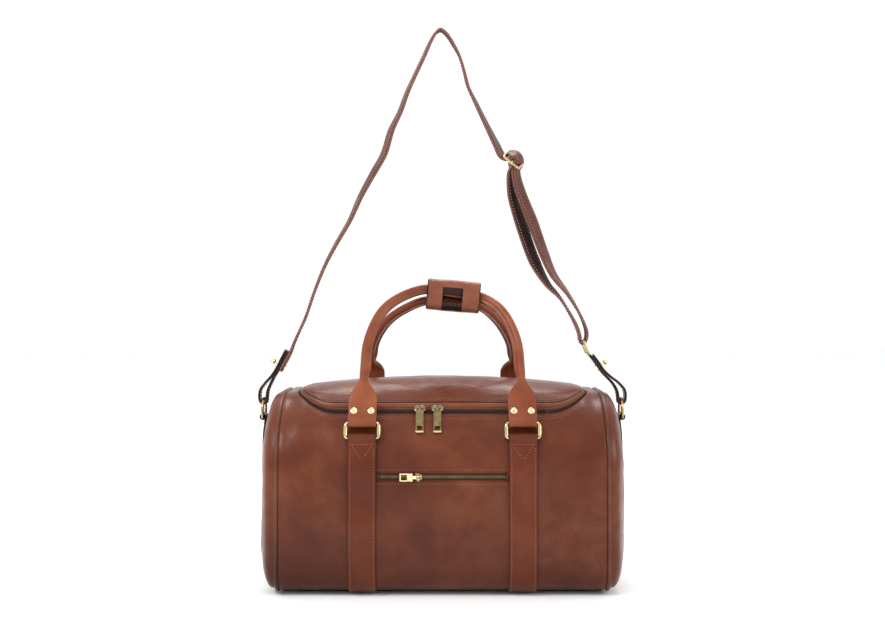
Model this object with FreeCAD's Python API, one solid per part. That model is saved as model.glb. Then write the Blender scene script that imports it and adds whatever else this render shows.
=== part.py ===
import FreeCAD, Part
import math
import os

# Leather duffel bag. Millimetres, Z up. The origin is the centre of the underside of the base,
# the front of the bag faces -Y, and its length runs along X.

# ---- body ----
HALF_DEPTH = 115.0
TOP_Z = 235.0
SKIN_Z = 2.5
CORNER_R = 27.0
SHOULDER_R = 95.0
SKIN_T = 2.2
PANEL_X = 189.5
SEAM_X = 192.0
PIPING_R = 2.4
PIPING_DEPTH = 0.9
BASE_T = 2.2
BASE_HALF = (188.0, 84.0)
BOARD_Z = (5.0, 7.8)
BOARD_HALF = (184.0, 86.0)
LINING_DEPTH = 6.2
LINING_T = 0.8
LINING_X = 186.0
# sections of a domed end: distance from the middle of the bag, and scale of the profile
DOME = ((194.5, 1.0), (203.0, 0.955), (210.5, 0.86), (215.5, 0.68), (218.0, 0.4))
DOME_T = 2.2

# ---- mouth and lid ----
MOUTH_X = 163.0
MOUTH_FRONT = -81.0
MOUTH_R = 61.0
FOLD_Y = 60.0
SEAM_GAP = 0.5
BODY_EDGE = 7.6
LID_EDGE = -10.0
BORDER = (-9.7, -3.7)
COIL = (0.3, 2.8)
TAPE_W = 15.0
COIL_DEPTH = (0.9, 2.3)
TAPE_DEPTH = (2.5, 3.3)
LID_LINING_DEPTH = (3.6, 4.4)
LID_LINING_EDGE = -11.5
LINING_EDGE = 9.1

# ---- front pocket ----
POCKET_HALF = 75.0
POCKET_Z = (132.8, 143.2)
POCKET_MID_Z = 138.0
POUCH_X = 82.0
POUCH_Z = (45.0, 146.0)
POUCH_Y = (-112.5, -109.1)
POUCH_T = 0.7

# ---- zip sliders ----
MAIN_SLIDERS = {"left": -26.6, "right": -6.0}
PULL_W = 9.4
PULL_L = 36.0
PULL_T = 2.0
PULL_EYE_R = 2.0
POCKET_SLIDER_X = -28.0
POCKET_PULL_L = 21.6
PIN_R = 0.9
PIN_UP = 3.0
MAIN_PLATE = (6.2, 4.6)
POCKET_PLATE = (4.0, 4.5)
PLATE_T = 1.6
# how far a plate's top face stands over the skin
MAIN_PLATE_UP = 2.2
POCKET_PLATE_UP = 1.9
# how far the main pulls hang off the line of the skin
DANGLE = 13.0

# ---- handle straps, rings and handles ----
STRAP_X = 93.0
STRAP_W = 33.0
STRAP_T = 2.0
STRAP_GAP = 0.3
STRAP_END_Y = 86.0
RING_W = 38.5
RING_WIRE = 2.4
RING_CORNER = 3.0
LOOP_IN = 2.8
LOOP_OUT = 5.0
LOWER_BAR = {"front": (-111.1, 182.3), "back": (106.7, 190.7)}
UPPER_BAR = {"front": (-106.7, 198.7), "back": (103.7, 207.4)}
HANDLE_R = 5.0
CORE_R = 3.2
HANDLE_VOID = 3.4
FLANGE_W = 3.0
FLANGE_T = 3.0
TAB_T = 7.0
TAB_NECK = 5.75
RIVET_UP = 14.6
RIVET_X = 10.0
RIVET_R = 2.0
RIVET_HEAD = 4.0
RIVET_DOME = 1.2
# per handle: slope of the tab in YZ, its full-width and narrowing lengths, the slope above it,
# where the core begins, and the middle line of the roll
FRONT_HANDLE = {
    "tab": 57.4, "full": 34.8, "narrow": 27.0, "slope": 57.4, "core_z": 256.0,
    "line": ((-93.0, -83.5, 235.0), (-93.0, -66.2, 262.0), (-90.5, -47.0, 292.0),
             (-79.0, -27.9, 322.0), (-66.0, -18.0, 337.5), (-45.0, -9.8, 350.0),
             (-22.0, -6.6, 357.0), (0.0, -6.5, 355.6), (15.0, -6.5, 353.8), (31.0, -6.5, 351.4),
             (48.0, -8.0, 347.0), (66.0, -17.5, 336.5), (79.0, -28.5, 321.0),
             (90.5, -47.0, 292.0), (93.0, -66.2, 262.0), (93.0, -83.5, 235.0))}
BACK_HANDLE = {
    "tab": 100.0, "full": 45.0, "narrow": 19.0, "slope": 134.4, "core_z": 268.0,
    "line": ((-93.0, 93.8, 253.8), (-93.0, 82.0, 265.8), (-91.0, 65.2, 283.0),
             (-83.5, 48.5, 300.0), (-69.0, 31.0, 318.0), (-48.0, 15.5, 332.0),
             (-22.0, 4.0, 342.0), (0.0, 3.5, 341.8), (15.0, 3.5, 340.5), (31.0, 3.6, 338.6),
             (49.0, 6.5, 334.5), (69.0, 28.0, 319.5), (83.5, 48.5, 300.0),
             (91.0, 65.2, 283.0), (93.0, 82.0, 265.8), (93.0, 93.8, 253.8))}

# ---- keeper round the two handles ----
KEEPER_X = 15.0
KEEPER_HALF = (34.0, 17.2)
KEEPER_Z = (328.4, 366.4)
KEEPER_T = 1.9
KEEPER_ROUND = (9.0, 7.0)
KEEPER_TILT = 5.0

# ---- side rings and their tabs ----
SIDE_X = 222.0
SIDE_BAR_Z = 198.0
SIDE_WIRE = 1.8
SIDE_ARCH_R = 14.3
SIDE_RISE = 8.0
TAB_HALF = 12.0
SIDE_TAB = ((221.7, 148.0), (221.5, 165.0), (220.4, 183.0), (219.3, 191.0), (218.8, 197.5))
SIDE_TAB_T = 2.6
SIDE_LOOP_T = 2.1
SIDE_LOOP_CLEAR = 0.35

# ---- shoulder strap ----
HANGER_HALF = 8.0
HANGER_T = 2.4
BAND_HALF = 11.0
BAND_T = 3.0
HANGER_LEFT = ((194.5, 280.0), (200.5, 268.5), (206.2, 257.5), (212.0, 248.5), (220.0, 239.5),
               (226.2, 230.5), (227.2, 221.0), (225.6, 215.6), (222.0, 214.0), (218.7, 215.6),
               (218.1, 222.0), (217.0, 230.0), (213.2, 239.0), (208.5, 248.5), (203.5, 256.2),
               (197.8, 267.1), (191.8, 278.6))
HANGER_RIGHT = ((187.1, 273.9), (193.2, 265.6), (199.6, 256.2), (208.0, 248.0), (219.0, 239.5),
                (226.2, 230.5), (227.2, 221.0), (225.6, 215.6), (222.0, 214.0), (218.7, 215.6),
                (218.1, 222.0), (216.6, 230.0), (211.5, 239.0), (204.5, 246.5), (197.2, 254.5),
                (190.8, 263.8), (184.9, 271.8), (182.6, 274.2))
STRAP_MAIN = ((-201.0, 254.5), (-195.2, 265.6), (-189.2, 277.0), (-184.0, 290.5), (-177.0, 306.0),
              (-170.0, 322.0), (-159.0, 354.0), (-146.5, 385.0), (-133.0, 411.0), (-115.2, 442.0),
              (-101.5, 472.4), (-84.7, 503.0), (-72.8, 524.5), (-63.7, 554.0), (-53.0, 576.5),
              (-43.5, 602.0), (-32.0, 627.0), (-23.0, 646.0), (-15.0, 664.0), (-9.0, 674.0),
              (-2.5, 678.5), (5.0, 673.0), (12.5, 662.0), (21.0, 646.0), (27.0, 627.0),
              (32.0, 608.0), (41.0, 589.0), (53.0, 564.0), (66.0, 538.0), (74.8, 521.6),
              (80.9, 520.4), (84.4, 523.5), (88.5, 524.3), (93.2, 522.6), (95.6, 518.4),
              (95.7, 514.2), (93.9, 510.6), (91.3, 506.0), (91.8, 497.0), (96.5, 479.0),
              (113.0, 440.0), (128.0, 398.5), (138.0, 374.0), (156.0, 350.0), (172.0, 322.5),
              (179.0, 303.0), (178.0, 292.3))
STRAP_RETURN = ((171.0, 292.3), (169.8, 300.6), (164.8, 313.6), (145.8, 345.6), (130.8, 362.1),
                (113.0, 390.0), (98.0, 430.0), (85.0, 473.0), (82.0, 500.0), (85.6, 514.4))
SLIDE_MID = (88.5, 517.0)
SLIDE_STEP = (9.2, -7.6)
SLIDE_WIRE = 1.6
SLIDE_HALF = 13.0
# how thick a frame's middle bar is against its end bars
MIDDLE_BAR = 0.9
RECT_TOP = (174.5, 291.5)
RECT_LOW = (180.6, 275.7)
RECT_WIRE = 1.7
RECT_HALF = 13.5
BAND_LOOP_IN = 2.0
STUD_R = 2.0
STUD_BALL = 3.4
STUD_PLATE_T = 1.2
# from the middle of the hanger's outer leaf to the stud's back plate and to its shoulder
STUD_BACK = {"left": -6.8, "right": -3.7}
STUD_SHOULDER = 3.7
STUD_STEM = 2.5
# where each stud goes through its hanger, and the slope of the hanger there
STUDS = {"left": (-201.8, 262.2, 152.0), "right": (195.2, 260.0, 35.0)}

BIG = 400.0
CLEAR = 0.2
CUT_Z = 150.0


def vec(x, y, z):
    return FreeCAD.Vector(x, y, z)


def box(x, y, z):
    """A box between two values on each axis."""
    return Part.makeBox(x[1] - x[0], y[1] - y[0], z[1] - z[0], vec(x[0], y[0], z[0]))


def rod(start, end, r):
    """A round bar between two points."""
    a = vec(*start)
    way = vec(*end) - a
    return Part.makeCylinder(r, way.Length, a, way)


def fuse(shapes):
    """One shape of several that touch or overlap."""
    out = shapes[0]
    for shape in shapes[1:]:
        out = out.fuse(shape)
    return out.removeSplitter()


def cut(shape, tools):
    for tool in tools:
        shape = shape.cut(tool)
    return shape


def mirror_x(shape):
    return shape.mirror(vec(0, 0, 0), vec(1, 0, 0))


def save(name, shape):
    shape.exportStep("parts/" + name + ".step")


def profile_wire(depth, x):
    """The body's profile in YZ, at a depth under its outer skin."""
    side = HALF_DEPTH - depth
    corner = CORNER_R - depth
    shoulder = SHOULDER_R - depth
    corner_y = HALF_DEPTH - CORNER_R
    corner_z = SKIN_Z + CORNER_R
    shoulder_y = HALF_DEPTH - SHOULDER_R
    shoulder_z = TOP_Z - SHOULDER_R
    bottom = SKIN_Z + depth
    half = math.sqrt(0.5)

    def point(y, z):
        return vec(x, y, z)

    low_right = Part.Arc(
        point(corner_y, bottom),
        point(corner_y + corner * half, corner_z - corner * half),
        point(side, corner_z))
    high_right = Part.Arc(
        point(side, shoulder_z),
        point(shoulder_y + shoulder * half, shoulder_z + shoulder * half),
        point(shoulder_y, TOP_Z - depth))
    high_left = Part.Arc(
        point(-shoulder_y, TOP_Z - depth),
        point(-shoulder_y - shoulder * half, shoulder_z + shoulder * half),
        point(-side, shoulder_z))
    low_left = Part.Arc(
        point(-side, corner_z),
        point(-corner_y - corner * half, corner_z - corner * half),
        point(-corner_y, bottom))
    edges = [
        Part.makeLine(point(-corner_y, bottom), point(corner_y, bottom)),
        low_right.toShape(),
        Part.makeLine(point(side, corner_z), point(side, shoulder_z)),
        high_right.toShape(),
        Part.makeLine(point(shoulder_y, TOP_Z - depth), point(-shoulder_y, TOP_Z - depth)),
        high_left.toShape(),
        Part.makeLine(point(-side, shoulder_z), point(-side, corner_z)),
        low_left.toShape()]
    return Part.Wire(edges)


def barrel(depth, half):
    """The solid inside the profile, between -half and +half along X."""
    return Part.Face(profile_wire(depth, -half)).extrude(vec(2 * half, 0, 0))


def layer(outer, inner, half):
    """A tube of the body's profile between two depths."""
    return barrel(outer, half).cut(barrel(inner, half))


def mouth(grow, back):
    """A prism over the mouth, wider than the zip's middle line by grow, as far back as back."""
    wide = MOUTH_X + grow
    front = MOUTH_FRONT - grow
    r = MOUTH_R + grow
    half = math.sqrt(0.5)
    side_y = front + r
    side_x = wide - r
    right = Part.Arc(
        vec(side_x, front, CUT_Z),
        vec(side_x + r * half, side_y - r * half, CUT_Z),
        vec(wide, side_y, CUT_Z))
    left = Part.Arc(
        vec(-wide, side_y, CUT_Z),
        vec(-side_x - r * half, side_y - r * half, CUT_Z),
        vec(-side_x, front, CUT_Z))
    edges = [
        Part.makeLine(vec(-side_x, front, CUT_Z), vec(side_x, front, CUT_Z)),
        right.toShape(),
        Part.makeLine(vec(wide, side_y, CUT_Z), vec(wide, back, CUT_Z)),
        Part.makeLine(vec(wide, back, CUT_Z), vec(-wide, back, CUT_Z)),
        Part.makeLine(vec(-wide, back, CUT_Z), vec(-wide, side_y, CUT_Z)),
        left.toShape()]
    return Part.Face(Part.Wire(edges)).extrude(vec(0, 0, TOP_Z))


def make_shell():
    """The front and back panels, which meet under the base and at the fold of the lid."""
    skin = layer(0, SKIN_T, PANEL_X)
    front_keep = fuse([
        box((-BIG, BIG), (-BIG, -SEAM_GAP / 2), (-BIG, CUT_Z)),
        box((-BIG, BIG), (-BIG, FOLD_Y - SEAM_GAP), (CUT_Z, BIG))])
    back_keep = fuse([
        box((-BIG, BIG), (SEAM_GAP / 2, BIG), (-BIG, CUT_Z)),
        box((-BIG, BIG), (FOLD_Y + SEAM_GAP, BIG), (CUT_Z, BIG))])
    slit = box((-POCKET_HALF, POCKET_HALF), (-BIG, 0), POCKET_Z)
    front = cut(skin.common(front_keep), [mouth(BODY_EDGE, FOLD_Y), slit])
    save("front_panel", front)
    save("back_panel", skin.common(back_keep))
    save("base_panel", box((-BASE_HALF[0], BASE_HALF[0]), (-BASE_HALF[1], BASE_HALF[1]), (0, BASE_T)))
    save("base_board", box((-BOARD_HALF[0], BOARD_HALF[0]), (-BOARD_HALF[1], BOARD_HALF[1]), BOARD_Z))


def dome_wire(x, scale):
    """The profile at x, scaled about the middle of the end."""
    wire = profile_wire(0, x)
    middle = (TOP_Z + SKIN_Z) / 2
    return wire.scaled(scale, vec(x, 0, middle))


def make_ends():
    """A domed end panel, open towards the bag, and the piping in its seam."""
    shrink = DOME_T / HALF_DEPTH
    outer = Part.makeLoft([dome_wire(x, s) for x, s in DOME], True, False)
    inner_rows = [(DOME[0][0], DOME[0][1] - shrink)]
    inner_rows += [(x - DOME_T, s - shrink) for x, s in DOME[1:]]
    inner = Part.makeLoft([dome_wire(x, s) for x, s in inner_rows], True, False)
    end = outer.cut(inner)
    save("end_panel_right", end)
    save("end_panel_left", mirror_x(end))
    path = profile_wire(PIPING_DEPTH, SEAM_X)
    start = vec(SEAM_X, 0, SKIN_Z + PIPING_DEPTH)
    ring = Part.Wire(Part.makeCircle(PIPING_R, start, vec(0, 1, 0)))
    open_edges = path.Edges[1:]
    half_bottom = HALF_DEPTH - CORNER_R
    first = Part.makeLine(start, vec(SEAM_X, half_bottom, start.z))
    last = Part.makeLine(vec(SEAM_X, -half_bottom, start.z), start)
    spine = Part.Wire([first] + open_edges + [last])
    piping = spine.makePipeShell([ring], True, True)
    save("piping_right", piping)
    save("piping_left", mirror_x(piping))


def make_lining():
    """A cloth bag inside the leather, open under the lid, and the lid's own lining."""
    inner_depth = LINING_DEPTH + LINING_T
    bag = barrel(LINING_DEPTH, LINING_X).cut(barrel(inner_depth, LINING_X - LINING_T))
    save("lining", bag.cut(mouth(LINING_EDGE, FOLD_Y)))
    lid = layer(LID_LINING_DEPTH[0], LID_LINING_DEPTH[1], PANEL_X)
    save("lid_lining", lid.common(mouth(LID_LINING_EDGE, FOLD_Y - SEAM_GAP)))


def strip(depth, wide, narrow):
    """A strip that runs round the mouth, between two distances from the zip's middle line."""
    ring = mouth(wide, FOLD_Y - SEAM_GAP).cut(mouth(narrow, FOLD_Y + SEAM_GAP))
    return layer(depth[0], depth[1], PANEL_X).common(ring)


def make_lid():
    """The lid, its border and its half of the zip, and the body's half of the zip."""
    lid = layer(0, SKIN_T, PANEL_X).common(mouth(LID_EDGE, FOLD_Y - SEAM_GAP))
    save("lid_panel", lid)
    save("lid_border", strip(COIL_DEPTH, BORDER[1], BORDER[0]))
    save("main_zip_coil_lid", strip(COIL_DEPTH, -COIL[0], -COIL[1]))
    save("main_zip_tape_lid", strip(TAPE_DEPTH, -COIL[0], -TAPE_W))
    save("main_zip_coil_body", strip(COIL_DEPTH, COIL[1], COIL[0]))
    save("main_zip_tape_body", strip(TAPE_DEPTH, TAPE_W, COIL[0]))


def make_pocket():
    """The front pocket's zip, which fills the slit, and its pouch behind the panel."""
    tape_y = (-113.9, -113.1)
    coil_y = (-114.7, -114.0)
    coil_half = 1.8
    tape = box((-POCKET_HALF + CLEAR, POCKET_HALF - CLEAR), tape_y,
               (POCKET_Z[0] + CLEAR, POCKET_Z[1] - CLEAR))
    coil = box((-POCKET_HALF + CLEAR, POCKET_HALF - CLEAR), coil_y,
               (POCKET_MID_Z - coil_half, POCKET_MID_Z + coil_half))
    pouch = box((-POUCH_X, POUCH_X), POUCH_Y, POUCH_Z)
    hollow = box((-POUCH_X + POUCH_T, POUCH_X - POUCH_T),
                 (POUCH_Y[0] + POUCH_T, POUCH_Y[1] - POUCH_T),
                 (POUCH_Z[0] + POUCH_T, POUCH_Z[1] - POUCH_T))
    slit = box((-POCKET_HALF, POCKET_HALF), (POUCH_Y[0] - 1, POUCH_Y[0] + 1), POCKET_Z)
    save("pocket_zip_tape", tape)
    save("pocket_zip_coil", coil)
    save("pocket_pouch", cut(pouch, [hollow, slit]))


def pull(length):
    """A flat zip pull with an eye at the origin, round X, and its blade along -Z."""
    blade_top = 6.0
    half = PULL_W / 2
    half_t = PULL_T / 2
    eye_half = 2.0
    window_half = 3.0
    window = (2.4, 7.9)
    eye = rod((-eye_half, 0, 0), (eye_half, 0, 0), PULL_EYE_R)
    neck = box((-eye_half, eye_half), (-half_t, half_t), (-blade_top, 0))
    blade = box((-half, half), (-half_t, half_t), (-length, -blade_top))
    bore = rod((-half, 0, 0), (half, 0, 0), PIN_R + 0.1)
    hole = box((-window_half, window_half), (-half, half), (-length + window[0], -length + window[1]))
    return cut(fuse([eye, neck, blade]), [bore, hole])


def slider(plate_half):
    """A slider's top plate in XY with its top face at z=0, and a bail with a pin along X."""
    lug = (2.3, 3.3)
    lug_half = 1.4
    body = box((-plate_half[0], plate_half[0]), (-plate_half[1], plate_half[1]), (-PLATE_T, 0))
    parts = [body, rod((-lug[1], 0, PIN_UP), (lug[1], 0, PIN_UP), PIN_R)]
    for side in (-1, 1):
        span = sorted((side * lug[0], side * lug[1]))
        parts.append(box(span, (-lug_half, lug_half), (-PLATE_T, PIN_UP)))
        parts.append(rod((span[0], 0, PIN_UP), (span[1], 0, PIN_UP), lug_half))
    return fuse(parts)


def make_main_sliders():
    """Two sliders on the front run of the zip, each with a pull that lies on the shoulder."""
    shoulder_y = HALF_DEPTH - SHOULDER_R
    shoulder_z = TOP_Z - SHOULDER_R
    lean = math.degrees(math.asin((-MOUTH_FRONT - shoulder_y) / SHOULDER_R))
    seat_r = SHOULDER_R + MAIN_PLATE_UP
    for side, x in MAIN_SLIDERS.items():
        body = slider(MAIN_PLATE)
        hang = pull(PULL_L)
        # from hanging straight down to lying along the shoulder below the slider
        hang.rotate(vec(0, 0, 0), vec(1, 0, 0), -90 + DANGLE)
        hang.translate(vec(0, 0, PIN_UP))
        for shape in (body, hang):
            shape.translate(vec(0, 0, seat_r))
            shape.rotate(vec(0, 0, 0), vec(1, 0, 0), lean)
            shape.translate(vec(x, -shoulder_y, shoulder_z))
        save("main_slider_" + side, body)
        save("main_pull_" + side, hang)


def make_pocket_slider():
    """The pocket's slider, with its pull lying to the left along the zip."""
    face_y = -HALF_DEPTH - POCKET_PLATE_UP
    body = slider(POCKET_PLATE)
    hang = pull(POCKET_PULL_L)
    body.rotate(vec(0, 0, 0), vec(0, 0, 1), 90)
    body.rotate(vec(0, 0, 0), vec(1, 0, 0), 90)
    hang.rotate(vec(0, 0, 0), vec(0, 1, 0), 90)
    hang.translate(vec(0, -PIN_UP, 0))
    for shape in (body, hang):
        shape.translate(vec(POCKET_SLIDER_X, face_y, POCKET_MID_Z))
    save("pocket_slider", body)
    save("pocket_pull", hang)


def make_strap(side):
    """A strap that runs up the body and folds round the ring's lower bar."""
    sign = -1 if side == "front" else 1
    bar_y, bar_z = LOWER_BAR[side]
    centre_y = sign * (HALF_DEPTH - SHOULDER_R)
    centre_z = TOP_Z - SHOULDER_R
    angle = math.atan2(bar_z - centre_z, sign * (bar_y - centre_y))
    doubled = 2 * STRAP_T + STRAP_GAP
    thick = layer(-doubled, -STRAP_GAP, STRAP_W / 2)
    thin = layer(-STRAP_GAP - STRAP_T, -STRAP_GAP, STRAP_W / 2)
    top_z = centre_z + SHOULDER_R * math.sin(angle)
    fold_z = 150.0
    reach = sorted((sign * STRAP_END_Y, sign * BIG))
    thin = thin.common(box((-BIG, BIG), reach, (-BIG, fold_z)))
    thick = thick.common(box((-BIG, BIG), reach, (fold_z, top_z)))
    half = STRAP_W / 2
    roll = rod((-half, bar_y, bar_z), (half, bar_y, bar_z), LOOP_OUT)
    bore = rod((-BIG, bar_y, bar_z), (BIG, bar_y, bar_z), LOOP_IN)
    strap = fuse([thin, thick, roll]).cut(bore)
    for name, x in (("left", -STRAP_X), ("right", STRAP_X)):
        placed = strap.copy()
        placed.translate(vec(x, 0, 0))
        save(side + "_strap_" + name, placed)


def wire_ring(half, start, end, r, corner):
    """A closed ring of wire: two bars along X at start and end (y, z), with rounded corners."""
    way = vec(0, end[0] - start[0], end[1] - start[1])
    tall = way.Length
    bend = math.sqrt(0.5) * corner
    low = [
        (-half + corner, 0), (half - corner, 0),
        (half, corner), (half, tall - corner),
        (half - corner, tall), (-half + corner, tall),
        (-half, tall - corner), (-half, corner)]
    mids = [
        None, (half - corner + bend, corner - bend),
        None, (half - corner + bend, tall - corner + bend),
        None, (-half + corner - bend, tall - corner + bend),
        None, (-half + corner - bend, corner - bend)]
    edges = []
    for i, mid in enumerate(mids):
        a = vec(low[i][0], 0, low[i][1])
        b = vec(low[(i + 1) % len(low)][0], 0, low[(i + 1) % len(low)][1])
        if mid is None:
            edges.append(Part.makeLine(a, b))
        else:
            edges.append(Part.Arc(a, vec(mid[0], 0, mid[1]), b).toShape())
    middle = vec(0, 0, 0)
    edges[0] = Part.makeLine(middle, vec(low[1][0], 0, 0))
    edges.append(Part.makeLine(vec(low[0][0], 0, 0), middle))
    circle = Part.Wire(Part.makeCircle(r, middle, vec(1, 0, 0)))
    ring = Part.Wire(edges).makePipeShell([circle], True, True)
    ring.rotate(vec(0, 0, 0), vec(1, 0, 0), -math.degrees(math.atan2(way.y, way.z)))
    ring.translate(vec(0, start[0], start[1]))
    return ring


def make_rings(side):
    """The two rings that join a handle to its straps."""
    ring = wire_ring(RING_W / 2, LOWER_BAR[side], UPPER_BAR[side], RING_WIRE, RING_CORNER)
    for name, x in (("left", -STRAP_X), ("right", STRAP_X)):
        placed = ring.copy()
        placed.translate(vec(x, 0, 0))
        save(side + "_ring_" + name, placed)


def roll(form, r, flange):
    """A round roll along a handle's middle line, with a flat flange along its inner side."""
    curve = Part.BSplineCurve()
    curve.interpolate([vec(*p) for p in form["line"]])
    spine = Part.Wire([curve.toShape()])
    start = vec(*form["line"][0])
    way = curve.tangent(curve.FirstParameter)[0]
    turn = math.radians(form["slope"])
    across = vec(0, -math.sin(turn), math.cos(turn))
    section = Part.Wire(Part.makeCircle(r, start, way))
    if flange:
        inward = vec(1, 0, 0)
        near = start + inward * (r - 1)
        far = start + inward * (r + FLANGE_W)
        half = across * (FLANGE_T / 2)
        strip_face = Part.Face(Part.makePolygon([
            near - half, far - half, far + half, near + half, near - half]))
        section = Part.Face(section).fuse(strip_face).removeSplitter().Faces[0].OuterWire
    sweep = Part.BRepOffsetAPI.MakePipeShell(spine)
    sweep.setBiNormalMode(across)
    sweep.add(section)
    sweep.build()
    sweep.makeSolid()
    return sweep.shape()


def lean(shape, slope, foot):
    """Turn a shape drawn in XZ to a slope in YZ, with its lowest line at a foot (y, z)."""
    shape.rotate(vec(0, 0, 0), vec(1, 0, 0), slope - 90)
    shape.translate(vec(0, foot[0], foot[1]))
    return shape


def plate(points, x):
    """A flat piece of leather of an outline in XZ, centred on x."""
    corners = [vec(x + p[0], -TAB_T / 2, p[1]) for p in points]
    return Part.Face(Part.makePolygon(corners + corners[:1])).extrude(vec(0, TAB_T, 0))


def make_handle(side, form):
    """A handle: rolled leather with a flange and two tabs round the rings, its core, its rivets."""
    bar = UPPER_BAR[side]
    half = STRAP_W / 2
    tab_turn = math.radians(form["tab"])
    knee = (bar[0] + form["full"] * math.cos(tab_turn), bar[1] + form["full"] * math.sin(tab_turn))
    neck = ((-half, -CLEAR), (half, -CLEAR), (TAB_NECK, form["narrow"]), (-TAB_NECK, form["narrow"]))
    outline = ((-half, 0), (half, 0), (half, form["full"]), (-half, form["full"]))
    leather = [roll(form, HANDLE_R, True)]
    bores, rivets, holes = [], [], []
    for x in (-STRAP_X, STRAP_X):
        leather.append(lean(plate(neck, x), form["slope"], knee))
        leather.append(lean(plate(outline, x), form["tab"], bar))
        leather.append(rod((x - half, bar[0], bar[1]), (x + half, bar[0], bar[1]), LOOP_OUT))
        if form["tab"] != form["slope"]:
            leather.append(rod((x - half, knee[0], knee[1]), (x + half, knee[0], knee[1]), TAB_T / 2))
        bores.append(rod((x - BIG, bar[0], bar[1]), (x + BIG, bar[0], bar[1]), LOOP_IN))
        for dx in (-RIVET_X, RIVET_X):
            head = TAB_T / 2 + CLEAR / 4
            shank = rod((x + dx, -head, RIVET_UP), (x + dx, head, RIVET_UP), RIVET_R)
            face = rod((x + dx, -head - RIVET_DOME, RIVET_UP), (x + dx, -head, RIVET_UP), RIVET_HEAD)
            washer = rod((x + dx, head, RIVET_UP), (x + dx, head + RIVET_DOME, RIVET_UP), RIVET_HEAD)
            hole = rod((x + dx, -TAB_T, RIVET_UP), (x + dx, TAB_T, RIVET_UP), RIVET_R + CLEAR / 2)
            rivets.append(lean(fuse([shank, face, washer]), form["tab"], bar))
            holes.append(lean(hole, form["tab"], bar))
    cored = box((-BIG, BIG), (-BIG, BIG), (form["core_z"], BIG))
    hollow = roll(form, HANDLE_VOID, False).common(cored)
    save(side + "_handle_leather", cut(fuse(leather), [hollow] + bores + holes))
    save(side + "_handle_core", roll(form, CORE_R, False).common(cored))
    save(side + "_handle_rivets", Part.makeCompound(rivets))


def make_keeper():
    """A flat leather sleeve round both handles where they meet."""
    middle = vec(KEEPER_X, 0, sum(KEEPER_Z) / 2)
    span = (KEEPER_X - KEEPER_HALF[0], KEEPER_X + KEEPER_HALF[0])
    outer = box(span, (-KEEPER_HALF[1], KEEPER_HALF[1]), KEEPER_Z)
    rounded = [e for e in outer.Edges if abs(e.Vertexes[0].X - e.Vertexes[1].X) > 1]
    outer = outer.makeFillet(KEEPER_ROUND[0], rounded)
    inner = box((-BIG, BIG), (-KEEPER_HALF[1] + KEEPER_T, KEEPER_HALF[1] - KEEPER_T),
                (KEEPER_Z[0] + KEEPER_T, KEEPER_Z[1] - KEEPER_T))
    rounded = [e for e in inner.Edges if abs(e.Vertexes[0].X - e.Vertexes[1].X) > 1]
    inner = inner.makeFillet(KEEPER_ROUND[1], rounded)
    keeper = outer.cut(inner)
    keeper.rotate(middle, vec(0, 1, 0), KEEPER_TILT)
    save("keeper_wrap", keeper)


def band(points, thick, half):
    """A flat strap of leather that follows points in XZ and is 2 * half wide along Y."""
    curve = Part.BSplineCurve()
    curve.interpolate([vec(x, 0, z) for x, z in points])
    count = 6 * len(points)
    first, last = curve.FirstParameter, curve.LastParameter
    sides = [[], []]
    for i in range(count + 1):
        t = first + (last - first) * i / count
        p = curve.value(t)
        way = curve.tangent(t)[0]
        out = vec(-way.z, 0, way.x)
        sides[0].append(p + out * (thick / 2))
        sides[1].append(p - out * (thick / 2))
    edges = []
    for rail in sides:
        spline = Part.BSplineCurve()
        spline.interpolate(rail)
        edges.append(spline.toShape())
    edges.insert(1, Part.makeLine(sides[0][-1], sides[1][-1]))
    edges.append(Part.makeLine(sides[1][0], sides[0][0]))
    face = Part.Face(Part.Wire(Part.__sortEdges__(edges)))
    solid = face.extrude(vec(0, 2 * half, 0))
    solid.translate(vec(0, -half, 0))
    return solid


def make_side_rings():
    """A D ring at each end, and the leather tab that holds it."""
    arch_z = SIDE_BAR_Z + SIDE_RISE
    bar = vec(SIDE_X, 0, SIDE_BAR_Z)
    edges = [
        Part.makeLine(bar, vec(SIDE_X, SIDE_ARCH_R, SIDE_BAR_Z)),
        Part.makeLine(vec(SIDE_X, SIDE_ARCH_R, SIDE_BAR_Z), vec(SIDE_X, SIDE_ARCH_R, arch_z)),
        Part.Arc(vec(SIDE_X, SIDE_ARCH_R, arch_z), vec(SIDE_X, 0, arch_z + SIDE_ARCH_R),
                 vec(SIDE_X, -SIDE_ARCH_R, arch_z)).toShape(),
        Part.makeLine(vec(SIDE_X, -SIDE_ARCH_R, arch_z), vec(SIDE_X, -SIDE_ARCH_R, SIDE_BAR_Z)),
        Part.makeLine(vec(SIDE_X, -SIDE_ARCH_R, SIDE_BAR_Z), bar)]
    pieces = []
    for edge in edges:
        a = edge.Vertexes[0].Point
        way = edge.tangentAt(edge.FirstParameter)
        circle = Part.Wire(Part.makeCircle(SIDE_WIRE, a, way))
        pieces.append(Part.Wire([edge]).makePipeShell([circle], True, True))
        pieces.append(Part.makeSphere(SIDE_WIRE, a))
    ring = fuse(pieces)
    loop_in = SIDE_WIRE + SIDE_LOOP_CLEAR
    loop_out = loop_in + SIDE_LOOP_T
    strap = band(SIDE_TAB, SIDE_TAB_T, TAB_HALF)
    roll = rod((SIDE_X, -TAB_HALF, SIDE_BAR_Z), (SIDE_X, TAB_HALF, SIDE_BAR_Z), loop_out)
    bore = rod((SIDE_X, -BIG, SIDE_BAR_Z), (SIDE_X, BIG, SIDE_BAR_Z), loop_in)
    tab = fuse([strap, roll]).cut(bore)
    save("side_ring_right", ring)
    save("side_ring_left", mirror_x(ring))
    save("side_tab_right", tab)
    save("side_tab_left", mirror_x(tab))


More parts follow.
